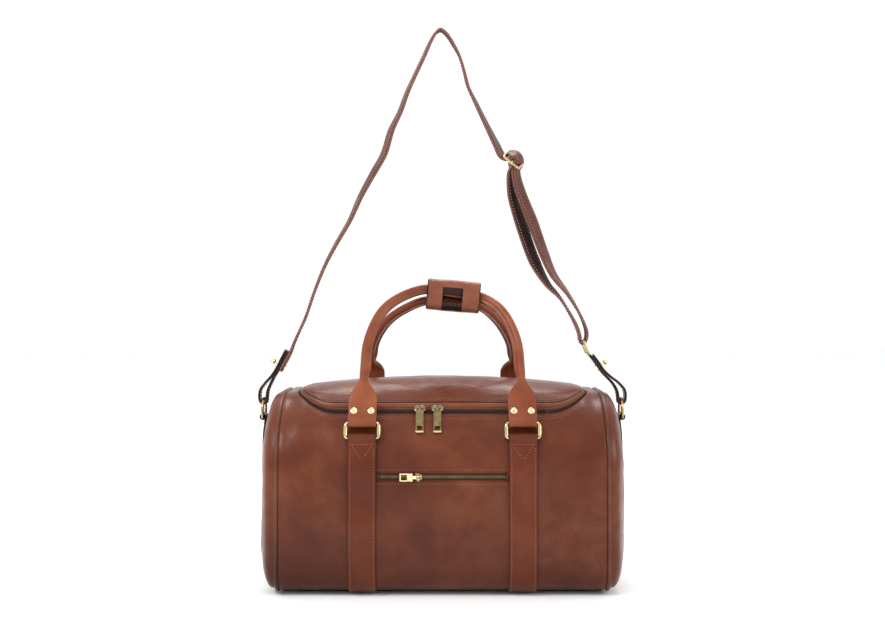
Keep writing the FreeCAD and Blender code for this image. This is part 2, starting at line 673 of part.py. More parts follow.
def bar_frame(bars, half, r):
    """A flat metal frame: bars along Y at each (x, z), joined by two side arms."""
    parts = [rod((x, -half, z), (x, half, z), r) for x, z in (bars[0], bars[-1])]
    parts += [rod((x, -half, z), (x, half, z), MIDDLE_BAR * r) for x, z in bars[1:-1]]
    for y in (-half, half):
        parts.append(rod((bars[0][0], y, bars[0][1]), (bars[-1][0], y, bars[-1][1]), r))
        parts.append(Part.makeSphere(r, vec(bars[0][0], y, bars[0][1])))
        parts.append(Part.makeSphere(r, vec(bars[-1][0], y, bars[-1][1])))
    return fuse(parts)


def make_stud(name):
    """A ball stud through the layers of a hanger, and the hole that it needs."""
    x, z, slope = STUDS[name]
    way = vec(math.cos(math.radians(slope)), 0, math.sin(math.radians(slope)))
    middle = vec(x, 0, z)
    inner = STUD_BACK[name]
    neck = STUD_SHOULDER + STUD_STEM
    back = Part.makeCylinder(RIVET_HEAD, STUD_PLATE_T, middle + way * (inner - STUD_PLATE_T), way)
    post = Part.makeCylinder(STUD_R, neck - inner, middle + way * inner, way)
    ball = Part.makeSphere(STUD_BALL, middle + way * (neck + STUD_BALL))
    stem = Part.makeCylinder(STUD_R, STUD_BALL, middle + way * (STUD_SHOULDER + STUD_R), way)
    hole = Part.makeCylinder(STUD_R + CLEAR, 2 * BAND_HALF, middle - way * BAND_HALF, way)
    return fuse([back, post, stem, ball]), hole


def make_shoulder_strap():
    """The strap, its slide buckle, its ring, and a hanger with a stud at each end."""
    stud_left, hole_left = make_stud("left")
    stud_right, hole_right = make_stud("right")
    left = band([(-x, z) for x, z in HANGER_LEFT], HANGER_T, HANGER_HALF)
    right = band(HANGER_RIGHT, HANGER_T, HANGER_HALF)
    loop_in = BAND_LOOP_IN
    fold = rod((RECT_LOW[0], -HANGER_HALF, RECT_LOW[1]), (RECT_LOW[0], HANGER_HALF, RECT_LOW[1]),
               loop_in + HANGER_T)
    low_bore = rod((RECT_LOW[0], -BIG, RECT_LOW[1]), (RECT_LOW[0], BIG, RECT_LOW[1]), loop_in)
    right = cut(fuse([right, fold]), [low_bore, hole_right])
    main = band(STRAP_MAIN, BAND_T, BAND_HALF)
    back = band(STRAP_RETURN, BAND_T, BAND_HALF)
    roll = rod((RECT_TOP[0], -BAND_HALF, RECT_TOP[1]), (RECT_TOP[0], BAND_HALF, RECT_TOP[1]),
               loop_in + BAND_T)
    knot = rod((SLIDE_MID[0], -BAND_HALF, SLIDE_MID[1]), (SLIDE_MID[0], BAND_HALF, SLIDE_MID[1]),
               loop_in + BAND_T)
    top_bore = rod((RECT_TOP[0], -BIG, RECT_TOP[1]), (RECT_TOP[0], BIG, RECT_TOP[1]), loop_in)
    knot_bore = rod((SLIDE_MID[0], -BIG, SLIDE_MID[1]), (SLIDE_MID[0], BIG, SLIDE_MID[1]), loop_in)
    strap = cut(fuse([main, roll, back, knot]), [top_bore, knot_bore, hole_left])
    bars = [(SLIDE_MID[0] + k * SLIDE_STEP[0], SLIDE_MID[1] + k * SLIDE_STEP[1]) for k in (-1, 0, 1)]
    save("hanger_left", left.cut(hole_left))
    save("hanger_right", right)
    save("stud_left", stud_left)
    save("stud_right", stud_right)
    save("shoulder_strap", strap)
    save("shoulder_slide", bar_frame(bars, SLIDE_HALF, SLIDE_WIRE))
    save("shoulder_ring", bar_frame([RECT_TOP, RECT_LOW], RECT_HALF, RECT_WIRE))


def main():
    os.makedirs("parts", exist_ok=True)
    make_shell()
    make_ends()
    make_lining()
    make_lid()
    make_pocket()
    make_main_sliders()
    make_pocket_slider()
    for side in ("front", "back"):
        make_strap(side)
        make_rings(side)
    make_handle("front", FRONT_HANDLE)
    make_handle("back", BACK_HANDLE)
    make_keeper()
    make_side_rings()
    make_shoulder_strap()


main()
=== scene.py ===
import math
import bpy
from mathutils import Matrix, Vector, noise


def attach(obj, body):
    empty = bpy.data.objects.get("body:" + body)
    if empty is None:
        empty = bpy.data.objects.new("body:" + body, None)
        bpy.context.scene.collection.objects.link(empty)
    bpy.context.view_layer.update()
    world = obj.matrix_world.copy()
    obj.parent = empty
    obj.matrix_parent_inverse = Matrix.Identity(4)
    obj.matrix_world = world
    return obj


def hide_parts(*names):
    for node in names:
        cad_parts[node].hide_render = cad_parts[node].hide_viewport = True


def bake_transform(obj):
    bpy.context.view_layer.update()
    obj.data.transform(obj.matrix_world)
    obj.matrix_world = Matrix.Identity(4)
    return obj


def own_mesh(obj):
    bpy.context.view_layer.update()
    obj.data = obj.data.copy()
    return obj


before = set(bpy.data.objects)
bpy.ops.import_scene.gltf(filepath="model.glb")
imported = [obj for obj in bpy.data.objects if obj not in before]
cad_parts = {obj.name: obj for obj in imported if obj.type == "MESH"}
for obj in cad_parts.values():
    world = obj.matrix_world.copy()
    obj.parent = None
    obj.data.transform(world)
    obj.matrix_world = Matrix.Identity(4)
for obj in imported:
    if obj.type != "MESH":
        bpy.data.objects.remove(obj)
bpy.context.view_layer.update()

# Leather duffel bag. Lengths in this file are millimetres; Mesh.piece() turns them into metres.

MM = 0.001
# the body's profile: half its depth, its top and its bottom, and the radii of its corners and shoulders
HALF_DEPTH, TOP_Z, SKIN_Z, CORNER_R, SHOULDER_R = 115.0, 235.0, 2.5, 27.0, 95.0
# the middle of a shoulder's arc
SHOULDER_Y, SHOULDER_Z = HALF_DEPTH - SHOULDER_R, TOP_Z - SHOULDER_R
# where the base, the corner, the wall and the shoulder end, along the profile
S_FLAT = HALF_DEPTH - CORNER_R
S_WALL = S_FLAT + CORNER_R * math.pi / 2
S_SHOULDER = S_WALL + SHOULDER_Z - SKIN_Z - CORNER_R
S_TOP = S_SHOULDER + SHOULDER_R * math.pi / 2
# the zip's middle line in plan, and where its front and its sides turn into the corners
MOUTH_X, MOUTH_FRONT, MOUTH_R, FOLD_Y = 174.0, -81.0, 50.0, 60.0
SIDE_X, SIDE_Y = MOUTH_X - MOUTH_R, MOUTH_FRONT + MOUTH_R
# where the leather of the body and of the lid ends, as offsets from that line
BODY_EDGE, LID_EDGE = 6.4, -10.0
# the pocket's zip: half the length of its slit, and its height
SLIT_X, SLIT_Z = 75.0, 138.0
# how much of a strip's width shows at the mouth's sides, where the lid's edge turns down
SIDE_SHARE = 0.4
STRAP_X, STRAP_W = 93.0, 33.0
LOWER_BAR = {"front": (-111.1, 182.3), "back": (106.7, 190.7)}
UPPER_BAR = {"front": (-106.7, 198.7), "back": (103.7, 207.4)}
X, Y, Z = Vector((1, 0, 0)), Vector((0, 1, 0)), Vector((0, 0, 1))
INSIDE = Vector((0, 0, 118))
SHARP_ANGLE = 40


# ---------------------------------------------------------------- small maths

def ease(low, high, value):
    """0 below low, 1 above high, and a smooth step between them."""
    t = min(1.0, max(0.0, (value - low) / (high - low)))
    return t * t * (3 - 2 * t)


def hump(middle, width, value):
    """1 at the middle, falling off over the width."""
    return math.exp(-((value - middle) / width) ** 2)


def waves(a, b, seed):
    """Smooth noise between about -1 and 1."""
    return noise.noise(Vector((a, b, seed))) * 1.6


def evenly(points, step):
    """The same line with points that are equally far apart."""
    total = sum((b - a).length for a, b in zip(points, points[1:]))
    count = max(1, round(total / step))
    out, gone, at = [points[0].copy()], 0.0, 1
    for k in range(1, count):
        goal = total * k / count
        while at < len(points) - 1 and gone + (points[at] - points[at - 1]).length < goal:
            gone += (points[at] - points[at - 1]).length
            at += 1
        a, b = points[at - 1], points[at]
        out.append(a.lerp(b, (goal - gone) / max(1e-9, (b - a).length)))
    out.append(points[-1].copy())
    return out


def through(points, step):
    """Points a step apart on a smooth line through the given ones."""
    knots = [Vector(p) for p in points]
    knots = [2 * knots[0] - knots[1]] + knots + [2 * knots[-1] - knots[-2]]
    dense = []
    for i in range(1, len(knots) - 2):
        p = knots[i - 1:i + 3]
        t = [0.0]
        for a, b in zip(p, p[1:]):
            t.append(t[-1] + max(1e-6, (b - a).length) ** 0.5)

        def mix(a, b, low, high, u):
            return ((high - u) * a + (u - low) * b) / (high - low)

        count = max(2, int((p[2] - p[1]).length / 0.7))
        for k in range(count):
            u = t[1] + (t[2] - t[1]) * k / count
            ends = [mix(p[j], p[j + 1], t[j], t[j + 1], u) for j in range(3)]
            pair = [mix(ends[j], ends[j + 1], t[j], t[j + 2], u) for j in range(2)]
            dense.append(mix(pair[0], pair[1], t[1], t[2], u))
    dense.append(knots[-2])
    return evenly(dense, step)


def ways(points):
    """The direction of a line at each of its points."""
    last = len(points) - 1
    return [(points[min(last, i + 1)] - points[max(0, i - 1)]).normalized() for i in range(last + 1)]


def lengths(points):
    """How far along the line each of its points is."""
    out = [0.0]
    for a, b in zip(points, points[1:]):
        out.append(out[-1] + (b - a).length)
    return out


def turns(count):
    """Equal steps round a circle."""
    return [2 * math.pi * k / count for k in range(count)]


def oval(middle, u, v, count):
    """Points round an oval with the half axes u and v."""
    return [middle + u * math.cos(a) + v * math.sin(a) for a in turns(count)]


def compact(points, faces):
    """Only the points that the faces use, and the faces counted anew."""
    used = sorted({k for face in faces for k in face})
    place = {k: n for n, k in enumerate(used)}
    return [points[k] for k in used], [[place[k] for k in face] for face in faces]


def facing(points, faces, sample, out):
    """The faces, all turned round if the sample looks against a direction."""
    a, b, c = (points[k] for k in sample[:3])
    return faces if (b - a).cross(c - a).dot(out) >= 0 else [face[::-1] for face in faces]


def placed(name, data):
    """A new object in the scene."""
    obj = bpy.data.objects.new(name, data)
    bpy.context.scene.collection.objects.link(obj)
    return obj


# ---------------------------------------------------------------- the body's soft shape

def shift(p):
    """How far the bag's skin, and all that is sewn to it, sits from its design shape at a point."""
    x, y, z = p
    top = ease(150, 205, z)
    crown = 11.5 * max(0.0, 1 - (x / 174) ** 2) * ease(-88, -8, y) * (1 - ease(14, 108, y))
    sunk = 1.4 * ease(168, 179, abs(x)) * (1 - ease(185, 192, abs(x))) * hump(0, 75, y)
    puckers = 0.8 * waves(x * 0.03, y * 0.035, 5.0) * hump(0, 60, y)
    droop = 3.6 * ease(164, 184, abs(x))
    up = top * (crown - sunk - droop + puckers * ease(40, 130, 190 - abs(x)))
    free = 1 - ease(150, 189, abs(x))
    side = ease(70, 113, abs(y)) * ease(2, 40, z) * (1 - ease(190, 222, z))
    seed = 3.0 if y < 0 else 8.0
    roll = 2.3 * waves(x * 0.0135, z * 0.016, seed) + 0.8 * waves(x * 0.034, z * 0.03, seed + 4)
    held = 1 - 0.8 * hump(STRAP_X, 24, abs(x)) * ease(150, 185, z)
    # the pocket's zip keeps the leather round it flat, as far as its slider and pull reach
    flat = 1 - 0.92 * hump(138, 34, z) * (1 - ease(104, 134, abs(x))) * (1 if y < 0 else 0)
    belly = 2.2 * ease(6, 50, z) * (1 - ease(70, 175, z))
    out = side * flat * (roll * held * free + belly * (0.45 + 0.55 * free))
    return Vector((0, out if y > 0 else -out, up))


def on_profile(s, sign, depth=0.0):
    """A point of the body's profile (y, z), s along it from the middle of the base, and its normal."""
    if s < S_FLAT:
        y, z, n = s, SKIN_Z + depth, (0.0, -1.0)
    elif s < S_WALL:
        a = (s - S_FLAT) / CORNER_R
        n = (math.sin(a), -math.cos(a))
        y, z = S_FLAT + (CORNER_R - depth) * n[0], SKIN_Z + CORNER_R + (CORNER_R - depth) * n[1]
    elif s < S_SHOULDER:
        y, z, n = HALF_DEPTH - depth, SKIN_Z + CORNER_R + s - S_WALL, (1.0, 0.0)
    elif s < S_TOP:
        a = (s - S_SHOULDER) / SHOULDER_R
        n = (math.cos(a), math.sin(a))
        y, z = SHOULDER_Y + (SHOULDER_R - depth) * n[0], SHOULDER_Z + (SHOULDER_R - depth) * n[1]
    else:
        y, z, n = SHOULDER_Y - (s - S_TOP), TOP_Z - depth, (0.0, 1.0)
    return sign * y, z, sign * n[0], n[1]


def on_top(x, y, depth):
    """A point on the top of the body, at a depth under its skin."""
    bent = max(0.0, abs(y) - SHOULDER_Y)
    r = SHOULDER_R - depth
    return Vector((x, y, SHOULDER_Z + math.sqrt(max(0.0, r * r - bent * bent))))


def skin_up(p):
    """The way out of the skin at a point on the top's front half."""
    return Vector((0, min(0.0, p.y + SHOULDER_Y) / SHOULDER_R, 1)).normalized()


def mouth_line(step=3.0):
    """Points of the zip's middle line in plan, each with its outward direction."""
    out = []
    rows = round((FOLD_Y - SIDE_Y) / step)
    turn = round(MOUTH_R * math.pi / 2 / step)
    run = round(2 * SIDE_X / step)
    for k in range(rows):
        out.append((-MOUTH_X, FOLD_Y - 0.25 - (FOLD_Y - SIDE_Y) * k / rows, -1.0, 0.0))
    for k in range(turn):
        a = math.pi + math.pi / 2 * k / turn
        out.append((-SIDE_X + MOUTH_R * math.cos(a), SIDE_Y + MOUTH_R * math.sin(a),
                    math.cos(a), math.sin(a)))
    for k in range(run):
        out.append((-SIDE_X + 2 * SIDE_X * k / run, MOUTH_FRONT, 0.0, -1.0))
    for x, y, nx, ny in reversed(out[:rows + turn]):
        out.append((-x, y, -nx, ny))
    return out


def mouth_point(station, offset, depth):
    """A point at an offset from the zip's middle line, at a depth under the skin."""
    x, y, nx, ny = station
    return on_top(x + nx * offset * SIDE_SHARE, y + ny * offset, depth)


def mouth_offset(x, y):
    """How far outside the zip's middle line a point in plan is, as mouth_point counts it."""
    if y >= SIDE_Y:
        return (abs(x) - MOUTH_X) / SIDE_SHARE
    if abs(x) <= SIDE_X:
        return MOUTH_FRONT - y
    low, high = -MOUTH_R + 1.0, 120.0
    for turn in range(16):
        middle = (low + high) / 2
        across = (abs(x) - SIDE_X) / (MOUTH_R + middle * SIDE_SHARE)
        along = (y - SIDE_Y) / (MOUTH_R + middle)
        if across * across + along * along > 1:
            low = middle
        else:
            high = middle
    return (low + high) / 2


# ---------------------------------------------------------------- meshes

class Mesh:
    """Corners and faces of one piece, in millimetres."""

    def __init__(self):
        self.points, self.faces, self.finish = [], [], []

    def add(self, points, faces, finish=0):
        base = len(self.points)
        self.points += [Vector(p) for p in points]
        for i, face in enumerate(faces):
            self.faces.append([base + k for k in face])
            self.finish.append(finish[i] if isinstance(finish, list) else finish)

    def solid(self, points, faces, finish=0):
        """A closed form, turned so that its faces look outward."""
        volume = 0.0
        for face in faces:
            a = points[face[0]]
            for j in range(1, len(face) - 1):
                volume += a.dot(points[face[j]].cross(points[face[j + 1]]))
        if volume < 0:
            faces = [face[::-1] for face in faces]
        self.add(points, faces, finish)

    def loft(self, rings, finish=0, closed=True, caps=True, ring_closed=True):
        """A form through rings of equally many points. finish may be one per side of a ring."""
        n = len(rings[0])
        points = [Vector(p) for ring in rings for p in ring]
        faces, kinds = [], []
        sides = n if ring_closed else n - 1
        for i in range(len(rings) - 1 if closed else len(rings)):
            low, high = i * n, ((i + 1) % len(rings)) * n
            for j in range(sides):
                k = (j + 1) % n
                faces.append([low + j, low + k, high + k, high + j])
                kinds.append(finish[j] if isinstance(finish, list) else finish)
        if closed and caps and ring_closed:
            cap = finish[0] if isinstance(finish, list) else finish
            faces.append(list(range(n))[::-1])
            faces.append([(len(rings) - 1) * n + j for j in range(n)])
            kinds += [cap, cap]
        if ring_closed:
            self.solid(points, faces, kinds)
        else:
            self.add(points, faces, kinds)

    def grid(self, rows, away, finish=0):
        """An open sheet through rows of points, turned to look away from a point."""
        before = len(self.faces)
        self.loft(rows, finish, ring_closed=False)
        total = 0.0
        for face in self.faces[before:before + 400]:
            a, b, c = (self.points[k] for k in face[:3])
            total += (b - a).cross(c - a).dot(a - Vector(away))
        if total < 0:
            for i in range(before, len(self.faces)):
                self.faces[i] = self.faces[i][::-1]

    def slab(self, rows, thick, finish=0, rim=None):
        """A closed sheet of a thickness, below rows of points that are its upper face."""
        high, wide = len(rows), len(rows[0])
        under = []
        for i in range(high):
            line = []
            for j in range(wide):
                u = rows[i][min(wide - 1, j + 1)] - rows[i][max(0, j - 1)]
                v = rows[min(high - 1, i + 1)][j] - rows[max(0, i - 1)][j]
                n = u.cross(v).normalized()
                line.append(rows[i][j] - n * (thick if n.dot(Z) > 0 else -thick))
            under.append(line)
        points = [p for row in rows for p in row] + [p for row in under for p in row]
        faces, kinds = [], []
        half = high * wide
        for i in range(high - 1):
            for j in range(wide - 1):
                a = i * wide + j
                faces.append([a, a + 1, a + wide + 1, a + wide])
                faces.append([half + a + wide, half + a + wide + 1, half + a + 1, half + a])
                kinds += [finish, finish]
        ring = [j for j in range(wide)] + [i * wide + wide - 1 for i in range(1, high)]
        ring += [(high - 1) * wide + j for j in range(wide - 2, -1, -1)]
        ring += [i * wide for i in range(high - 2, 0, -1)]
        for a, b in zip(ring, ring[1:] + ring[:1]):
            faces.append([b, a, half + a, half + b])
            kinds.append(finish if rim is None else rim)
        self.solid(points, faces, kinds)

    def tube(self, points, radius, finish=0, sides=10, closed=False):
        """A round bar along points; radius may be one per point."""
        rings = []
        last = len(points)
        side = None
        for i, p in enumerate(points):
            if closed:
                way = (points[(i + 1) % last] - points[i - 1]).normalized()
            else:
                way = (points[min(last - 1, i + 1)] - points[max(0, i - 1)]).normalized()
            if side is None:
                side = way.cross(X if abs(way.x) < 0.8 else Y).normalized()
            side = (side - way * side.dot(way)).normalized()
            other = way.cross(side)
            r = radius[i] if isinstance(radius, list) else radius
            rings.append(oval(p, side * r, other * r, sides))
        self.loft(rings, finish, closed=not closed)

    def dome(self, rings, out=None):
        """A form through rings, closed at the last one only; out is the way that it looks."""
        n = len(rings[0])
        points = [p for ring in rings for p in ring]
        faces = [[i * n + j, i * n + (j + 1) % n, (i + 1) * n + (j + 1) % n, (i + 1) * n + j]
                 for i in range(len(rings) - 1) for j in range(n)]
        faces.append([(len(rings) - 1) * n + j for j in range(n)])
        self.add(points, faces if out is None else facing(points, faces, faces[len(faces) // 2], out))

    def ball(self, middle, r, sides=12):
        steps = sides // 2 + 2
        angles = [math.pi * i / steps for i in range(1, steps)]
        self.loft([oval(middle + Z * (r * math.cos(a)), X * (r * math.sin(a)), Y * (r * math.sin(a)), sides)
                   for a in angles])

    def turned(self, middle, way, outline, finish=0, sides=20):
        """A turned form: outline is (distance along the axis, radius) from one end to the other."""
        way = Vector(way).normalized()
        side = way.cross(X if abs(way.x) < 0.8 else Y).normalized()
        other = way.cross(side)
        self.loft([oval(Vector(middle) + way * along, side * r, other * r, sides)
                   for along, r in outline], finish)

    def brick(self, x, y, z, r, place, finish=0):
        """A block with chamfered edges between two values on each axis, put in place by a matrix."""
        rings = []
        levels = ((z[0], r), (z[0] + r, 0), (z[1] - r, 0), (z[1], r))
        for level, cut in levels:
            a, b, c, d = x[0] + cut, x[1] - cut, y[0] + cut, y[1] - cut
            rings.append([place @ Vector(p + (level,)) for p in (
                (a + r, c), (b - r, c), (b, c + r), (b, d - r),
                (b - r, d), (a + r, d), (a, d - r), (a, c + r))])
        self.loft(rings, finish)

    def stitches(self, line, out, pitch=3.1, long=2.25, r=0.4, finish=0, rise=0.12):
        """A row of thread stitches along a line; out is the side that they lie on."""
        # leather closes over the ends of a pulled-down stitch
        pitch, long = pitch * 1.15, long * 0.84
        total = sum((b - a).length for a, b in zip(line, line[1:]))
        if total < pitch:
            return
        spots = evenly(line, pitch)
        heading = ways(spots)
        for i, p in enumerate(spots[:-1]):
            up = out[min(len(out) - 1, int(len(out) * i / len(spots)))] if isinstance(out, list) else out
            way = heading[i]
            across = way.cross(up).normalized()
            middle = p + up * rise
            rings = []
            for along, thick, dip in ((-0.42, 0.4, -0.5), (-0.24, 1.2, 0), (0.24, 1.2, 0), (0.42, 0.4, -0.5)):
                c = middle + way * (along * long) + up * (dip * r)
                rings.append(oval(c, across * (r * thick), up * (r * thick), 5))
            self.loft(rings, finish)

    def piece(self, name, finishes, body=None, soft=False, replaces=()):
        """The finished object. A soft piece takes the bag's own sag."""
        points = self.points
        if soft:
            points = [p + shift(p) for p in points]
        data = bpy.data.meshes.new(name)
        data.from_pydata([tuple(p * MM) for p in points], [], self.faces)
        for material in finishes:
            data.materials.append(material)
        data.polygons.foreach_set("material_index", self.finish)
        data.polygons.foreach_set("use_smooth", [True] * len(self.faces))
        data.validate()
        data.update()
        obj = placed(name, data)
        if body:
            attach(obj, body)
        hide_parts(*replaces)
        return obj


def sharpen(obj):
    """Keep the crisp edges of a metal piece crisp."""
    obj.data.set_sharp_from_angle(angle=math.radians(SHARP_ANGLE))


# ---------------------------------------------------------------- materials

class Nodes:
    """A material's node tree, with short calls for what the finishes share."""

    def __init__(self, name):
        self.material = bpy.data.materials.new(name)
        self.material.use_nodes = True
        self.tree = self.material.node_tree
        self.shader = self.tree.nodes["Principled BSDF"]
        self.place = self.new("ShaderNodeTexCoord").outputs["Object"]

    def new(self, kind, **values):
        node = self.tree.nodes.new(kind)
        for key, value in values.items():
            setattr(node, key, value)
        return node

    def link(self, a, b):
        self.tree.links.new(a, b)

    def stretched(self, scale):
        node = self.new("ShaderNodeMapping")
        node.inputs["Scale"].default_value = scale
        self.link(self.place, node.inputs["Vector"])
        return node.outputs["Vector"]

    def cloud(self, scale, detail=3.0, rough=0.55, bend=0.0, place=None):
        node = self.new("ShaderNodeTexNoise")
        node.inputs["Scale"].default_value = scale
        node.inputs["Detail"].default_value = detail
        node.inputs["Roughness"].default_value = rough
        node.inputs["Distortion"].default_value = bend
        self.link(place or self.place, node.inputs["Vector"])
        return node.outputs["Fac"]

    def cells(self, scale):
        node = self.new("ShaderNodeTexVoronoi", feature="F1")
        node.inputs["Scale"].default_value = scale
        self.link(self.place, node.inputs["Vector"])
        return node.outputs["Distance"]

    def bands(self, scale, axis):
        node = self.new("ShaderNodeTexWave", wave_type="BANDS", bands_direction=axis)
        node.inputs["Scale"].default_value = scale
        self.link(self.place, node.inputs["Vector"])
        return node.outputs["Fac"]

    def span(self, value, low, high, out_low, out_high):
        node = self.new("ShaderNodeMapRange")
        for k, number in enumerate((low, high, out_low, out_high)):
            node.inputs[k + 1].default_value = number
        self.link(value, node.inputs["Value"])
        return node.outputs["Result"]

    def math(self, kind, a, b):
        node = self.new("ShaderNodeMath", operation=kind)
        for socket, value in zip(node.inputs, (a, b)):
            if isinstance(value, (int, float)):
                socket.default_value = value
            else:
                self.link(value, socket)
        return node.outputs[0]

    def mix(self, share, a, b):
        node = self.new("ShaderNodeMix", data_type="RGBA", blend_type="MIX")
        for socket, value in ((node.inputs[0], share), (node.inputs[6], a), (node.inputs[7], b)):
            if isinstance(value, tuple):
                socket.default_value = value + (1.0,)
            elif isinstance(value, float):
                socket.default_value = value
            else:
                self.link(value, socket)
        return node.outputs[2]

    def bump(self, heights):
        """Bumps one on the other: (height, strength, distance in metres)."""
        normal = None
        for height, strength, distance in heights:
            node = self.new("ShaderNodeBump")
            node.inputs["Strength"].default_value = strength
            node.inputs["Distance"].default_value = distance
            self.link(height, node.inputs["Height"])
            if normal:
                self.link(normal, node.inputs["Normal"])
            normal = node.outputs["Normal"]
        self.link(normal, self.shader.inputs["Normal"])

    def set(self, **values):
        for key, value in values.items():
            socket = self.shader.inputs[key.replace("_", " ")]
            if isinstance(value, (int, float)):
                socket.default_value = value
            elif isinstance(value, tuple):
                socket.default_value = value + (1.0,)
            else:
                self.link(value, socket)
        return self.material


def leather(name, deep, base, pale_dye_and_sheen, rough=(0.28, 0.42), coat=0.10, bottom_shade=0.0, crease=1.0, share=0.6):
    """Smooth waxed leather: clouded dye, pale patches that are partly dye and partly painted reflection, fine
    pores, creases and a thin gloss. An optional painted shade darkens the colour towards the bottom of the
    bag.
    """
    n = Nodes(name)
    wide = n.span(n.cloud(8.0, 3.0, 0.55, 0.6), 0.34, 0.66, 0.0, 1.0)
    close = n.span(n.cloud(34.0, 4.0, 0.6, 0.3), 0.36, 0.68, 0.0, 1.0)
    fine = n.cloud(620.0, 2.0, 0.7)
    colour = n.mix(wide, deep, base)
    # pale patches: partly dye mottling, partly painted reflection standing in for soft highlights on the
    # gloss
    colour = n.mix(n.math("MULTIPLY", n.math("MULTIPLY", close, wide), share), colour, pale_dye_and_sheen)
    colour = n.mix(n.span(fine, 0.35, 0.65, 0.0, 0.22), colour, deep)
    # painted shade: the colour darkens towards the bottom of the bag, where the shade falls
    if bottom_shade:
        split = n.new("ShaderNodeSeparateXYZ")
        n.link(n.place, split.inputs[0])
        low = n.span(split.outputs["Z"], 0.0, 0.185, bottom_shade, 0.0)
        colour = n.mix(low, colour, tuple(c * 0.45 for c in deep))
    pores = n.cells(560.0)
    long = n.cloud(70.0, 5.0, 0.62, 1.4, n.stretched((1.0, 1.0, 0.45)))
    n.bump([(n.cloud(16.0, 4.0, 0.5, 0.8), 0.5 * crease, 0.004),
            (long, 0.35 * crease, 0.0012),
            (pores, 0.30, 0.00022), (fine, 0.25, 0.00018)])
    n.set(Base_Color=colour, Roughness=n.span(close, 0.0, 1.0, rough[1], rough[0]))
    return n.set(Coat_Weight=coat, Coat_Roughness=0.17, Specular_IOR_Level=0.15)


def brass(name, bright, dark, rough, patina):
    """Plated brass with patina in its clouds and fine scratches."""
    n = Nodes(name)
    stain = n.span(n.cloud(150.0, 4.0, 0.65, 0.5), 0.40, 0.66, 0.0, patina)
    fine = n.cloud(1400.0, 2.0, 0.6)
    colour = n.mix(stain, bright, dark)
    scratch = n.cloud(900.0, 2.0, 0.6, 0.0, n.stretched((1.0, 0.12, 1.0)))
    n.bump([(scratch, 0.18, 0.0001), (n.cloud(240.0), 0.2, 0.00025)])
    n.set(Base_Color=colour, Metallic=1.0,
          Roughness=n.math("ADD", n.span(stain, 0.0, 1.0, rough[0], rough[1]),
                           n.span(fine, 0.3, 0.7, -0.04, 0.05)))
    return n.material


def cloth(name, base, dark, pitch, rough=0.85, sheen=0.25):
    """A plain weave: threads over and under at a pitch in metres, with slubs."""
    n = Nodes(name)
    rate = 0.5 / pitch
    across = n.bands(rate, "X")
    along = n.bands(rate, "DIAGONAL")
    weave = n.math("MULTIPLY", across, along)
    slub = n.cloud(220.0, 3.0, 0.6, 0.0, n.stretched((1.0, 1.0, 6.0)))
    colour = n.mix(n.span(weave, 0.0, 1.0, 0.75, 0.0), base, dark)
    colour = n.mix(n.span(slub, 0.3, 0.7, 0.0, 0.4), colour, dark)
    n.bump([(weave, 0.5, 0.0003), (slub, 0.3, 0.0002)])
    n.set(Base_Color=colour, Roughness=n.span(slub, 0.3, 0.7, rough, min(1.0, rough + 0.1)))
    return n.set(Sheen_Weight=sheen, Specular_IOR_Level=0.15)


def painted(name, base, worn, rough=0.34):
    """The burnished dye on a cut edge of leather, worn a little in patches."""
    n = Nodes(name)
    patch = n.span(n.cloud(300.0, 3.0, 0.6), 0.48, 0.74, 0.0, 0.8)
    n.bump([(n.cloud(900.0, 3.0, 0.6), 0.3, 0.00025)])
    n.set(Base_Color=n.mix(patch, base, worn), Roughness=n.span(patch, 0.0, 1.0, rough, rough + 0.2))
    return n.set(Specular_IOR_Level=0.2)


def thread(name, base, dark):
    """Waxed sewing thread with its twist."""
    n = Nodes(name)
    twist = n.bands(900.0, "DIAGONAL")
    tone = n.cloud(160.0, 2.0)
    colour = n.mix(n.span(twist, 0.0, 1.0, 0.5, 0.0), base, dark)
    colour = n.mix(n.span(tone, 0.35, 0.65, 0.0, 0.45), colour, dark)
    n.bump([(twist, 0.4, 0.0001)])
    n.set(Base_Color=colour, Roughness=n.span(tone, 0.3, 0.7, 0.55, 0.7))
    return n.material


BODY = leather("leather_body", (0.076, 0.0145, 0.0050), (0.118, 0.0255, 0.0088), (0.27, 0.086, 0.040),
               bottom_shade=0.62, share=0.42)
TRIM = leather("leather_trim", (0.125, 0.027, 0.0090), (0.195, 0.046, 0.0165), (0.36, 0.125, 0.062),
               rough=(0.26, 0.40), crease=0.5)
STRAP = leather("leather_strap", (0.080, 0.0140, 0.0042), (0.122, 0.0230, 0.0070), (0.19, 0.048, 0.018),
                bottom_shade=0.35, crease=0.4, share=0.4)
BORDER = leather("leather_border", (0.12, 0.030, 0.011), (0.21, 0.056, 0.021), (0.30, 0.10, 0.042),
                 crease=0.3)
BAND = leather("leather_band", (0.056, 0.013, 0.007), (0.100, 0.026, 0.014), (0.16, 0.058, 0.037),
               rough=(0.38, 0.55), crease=0.3)
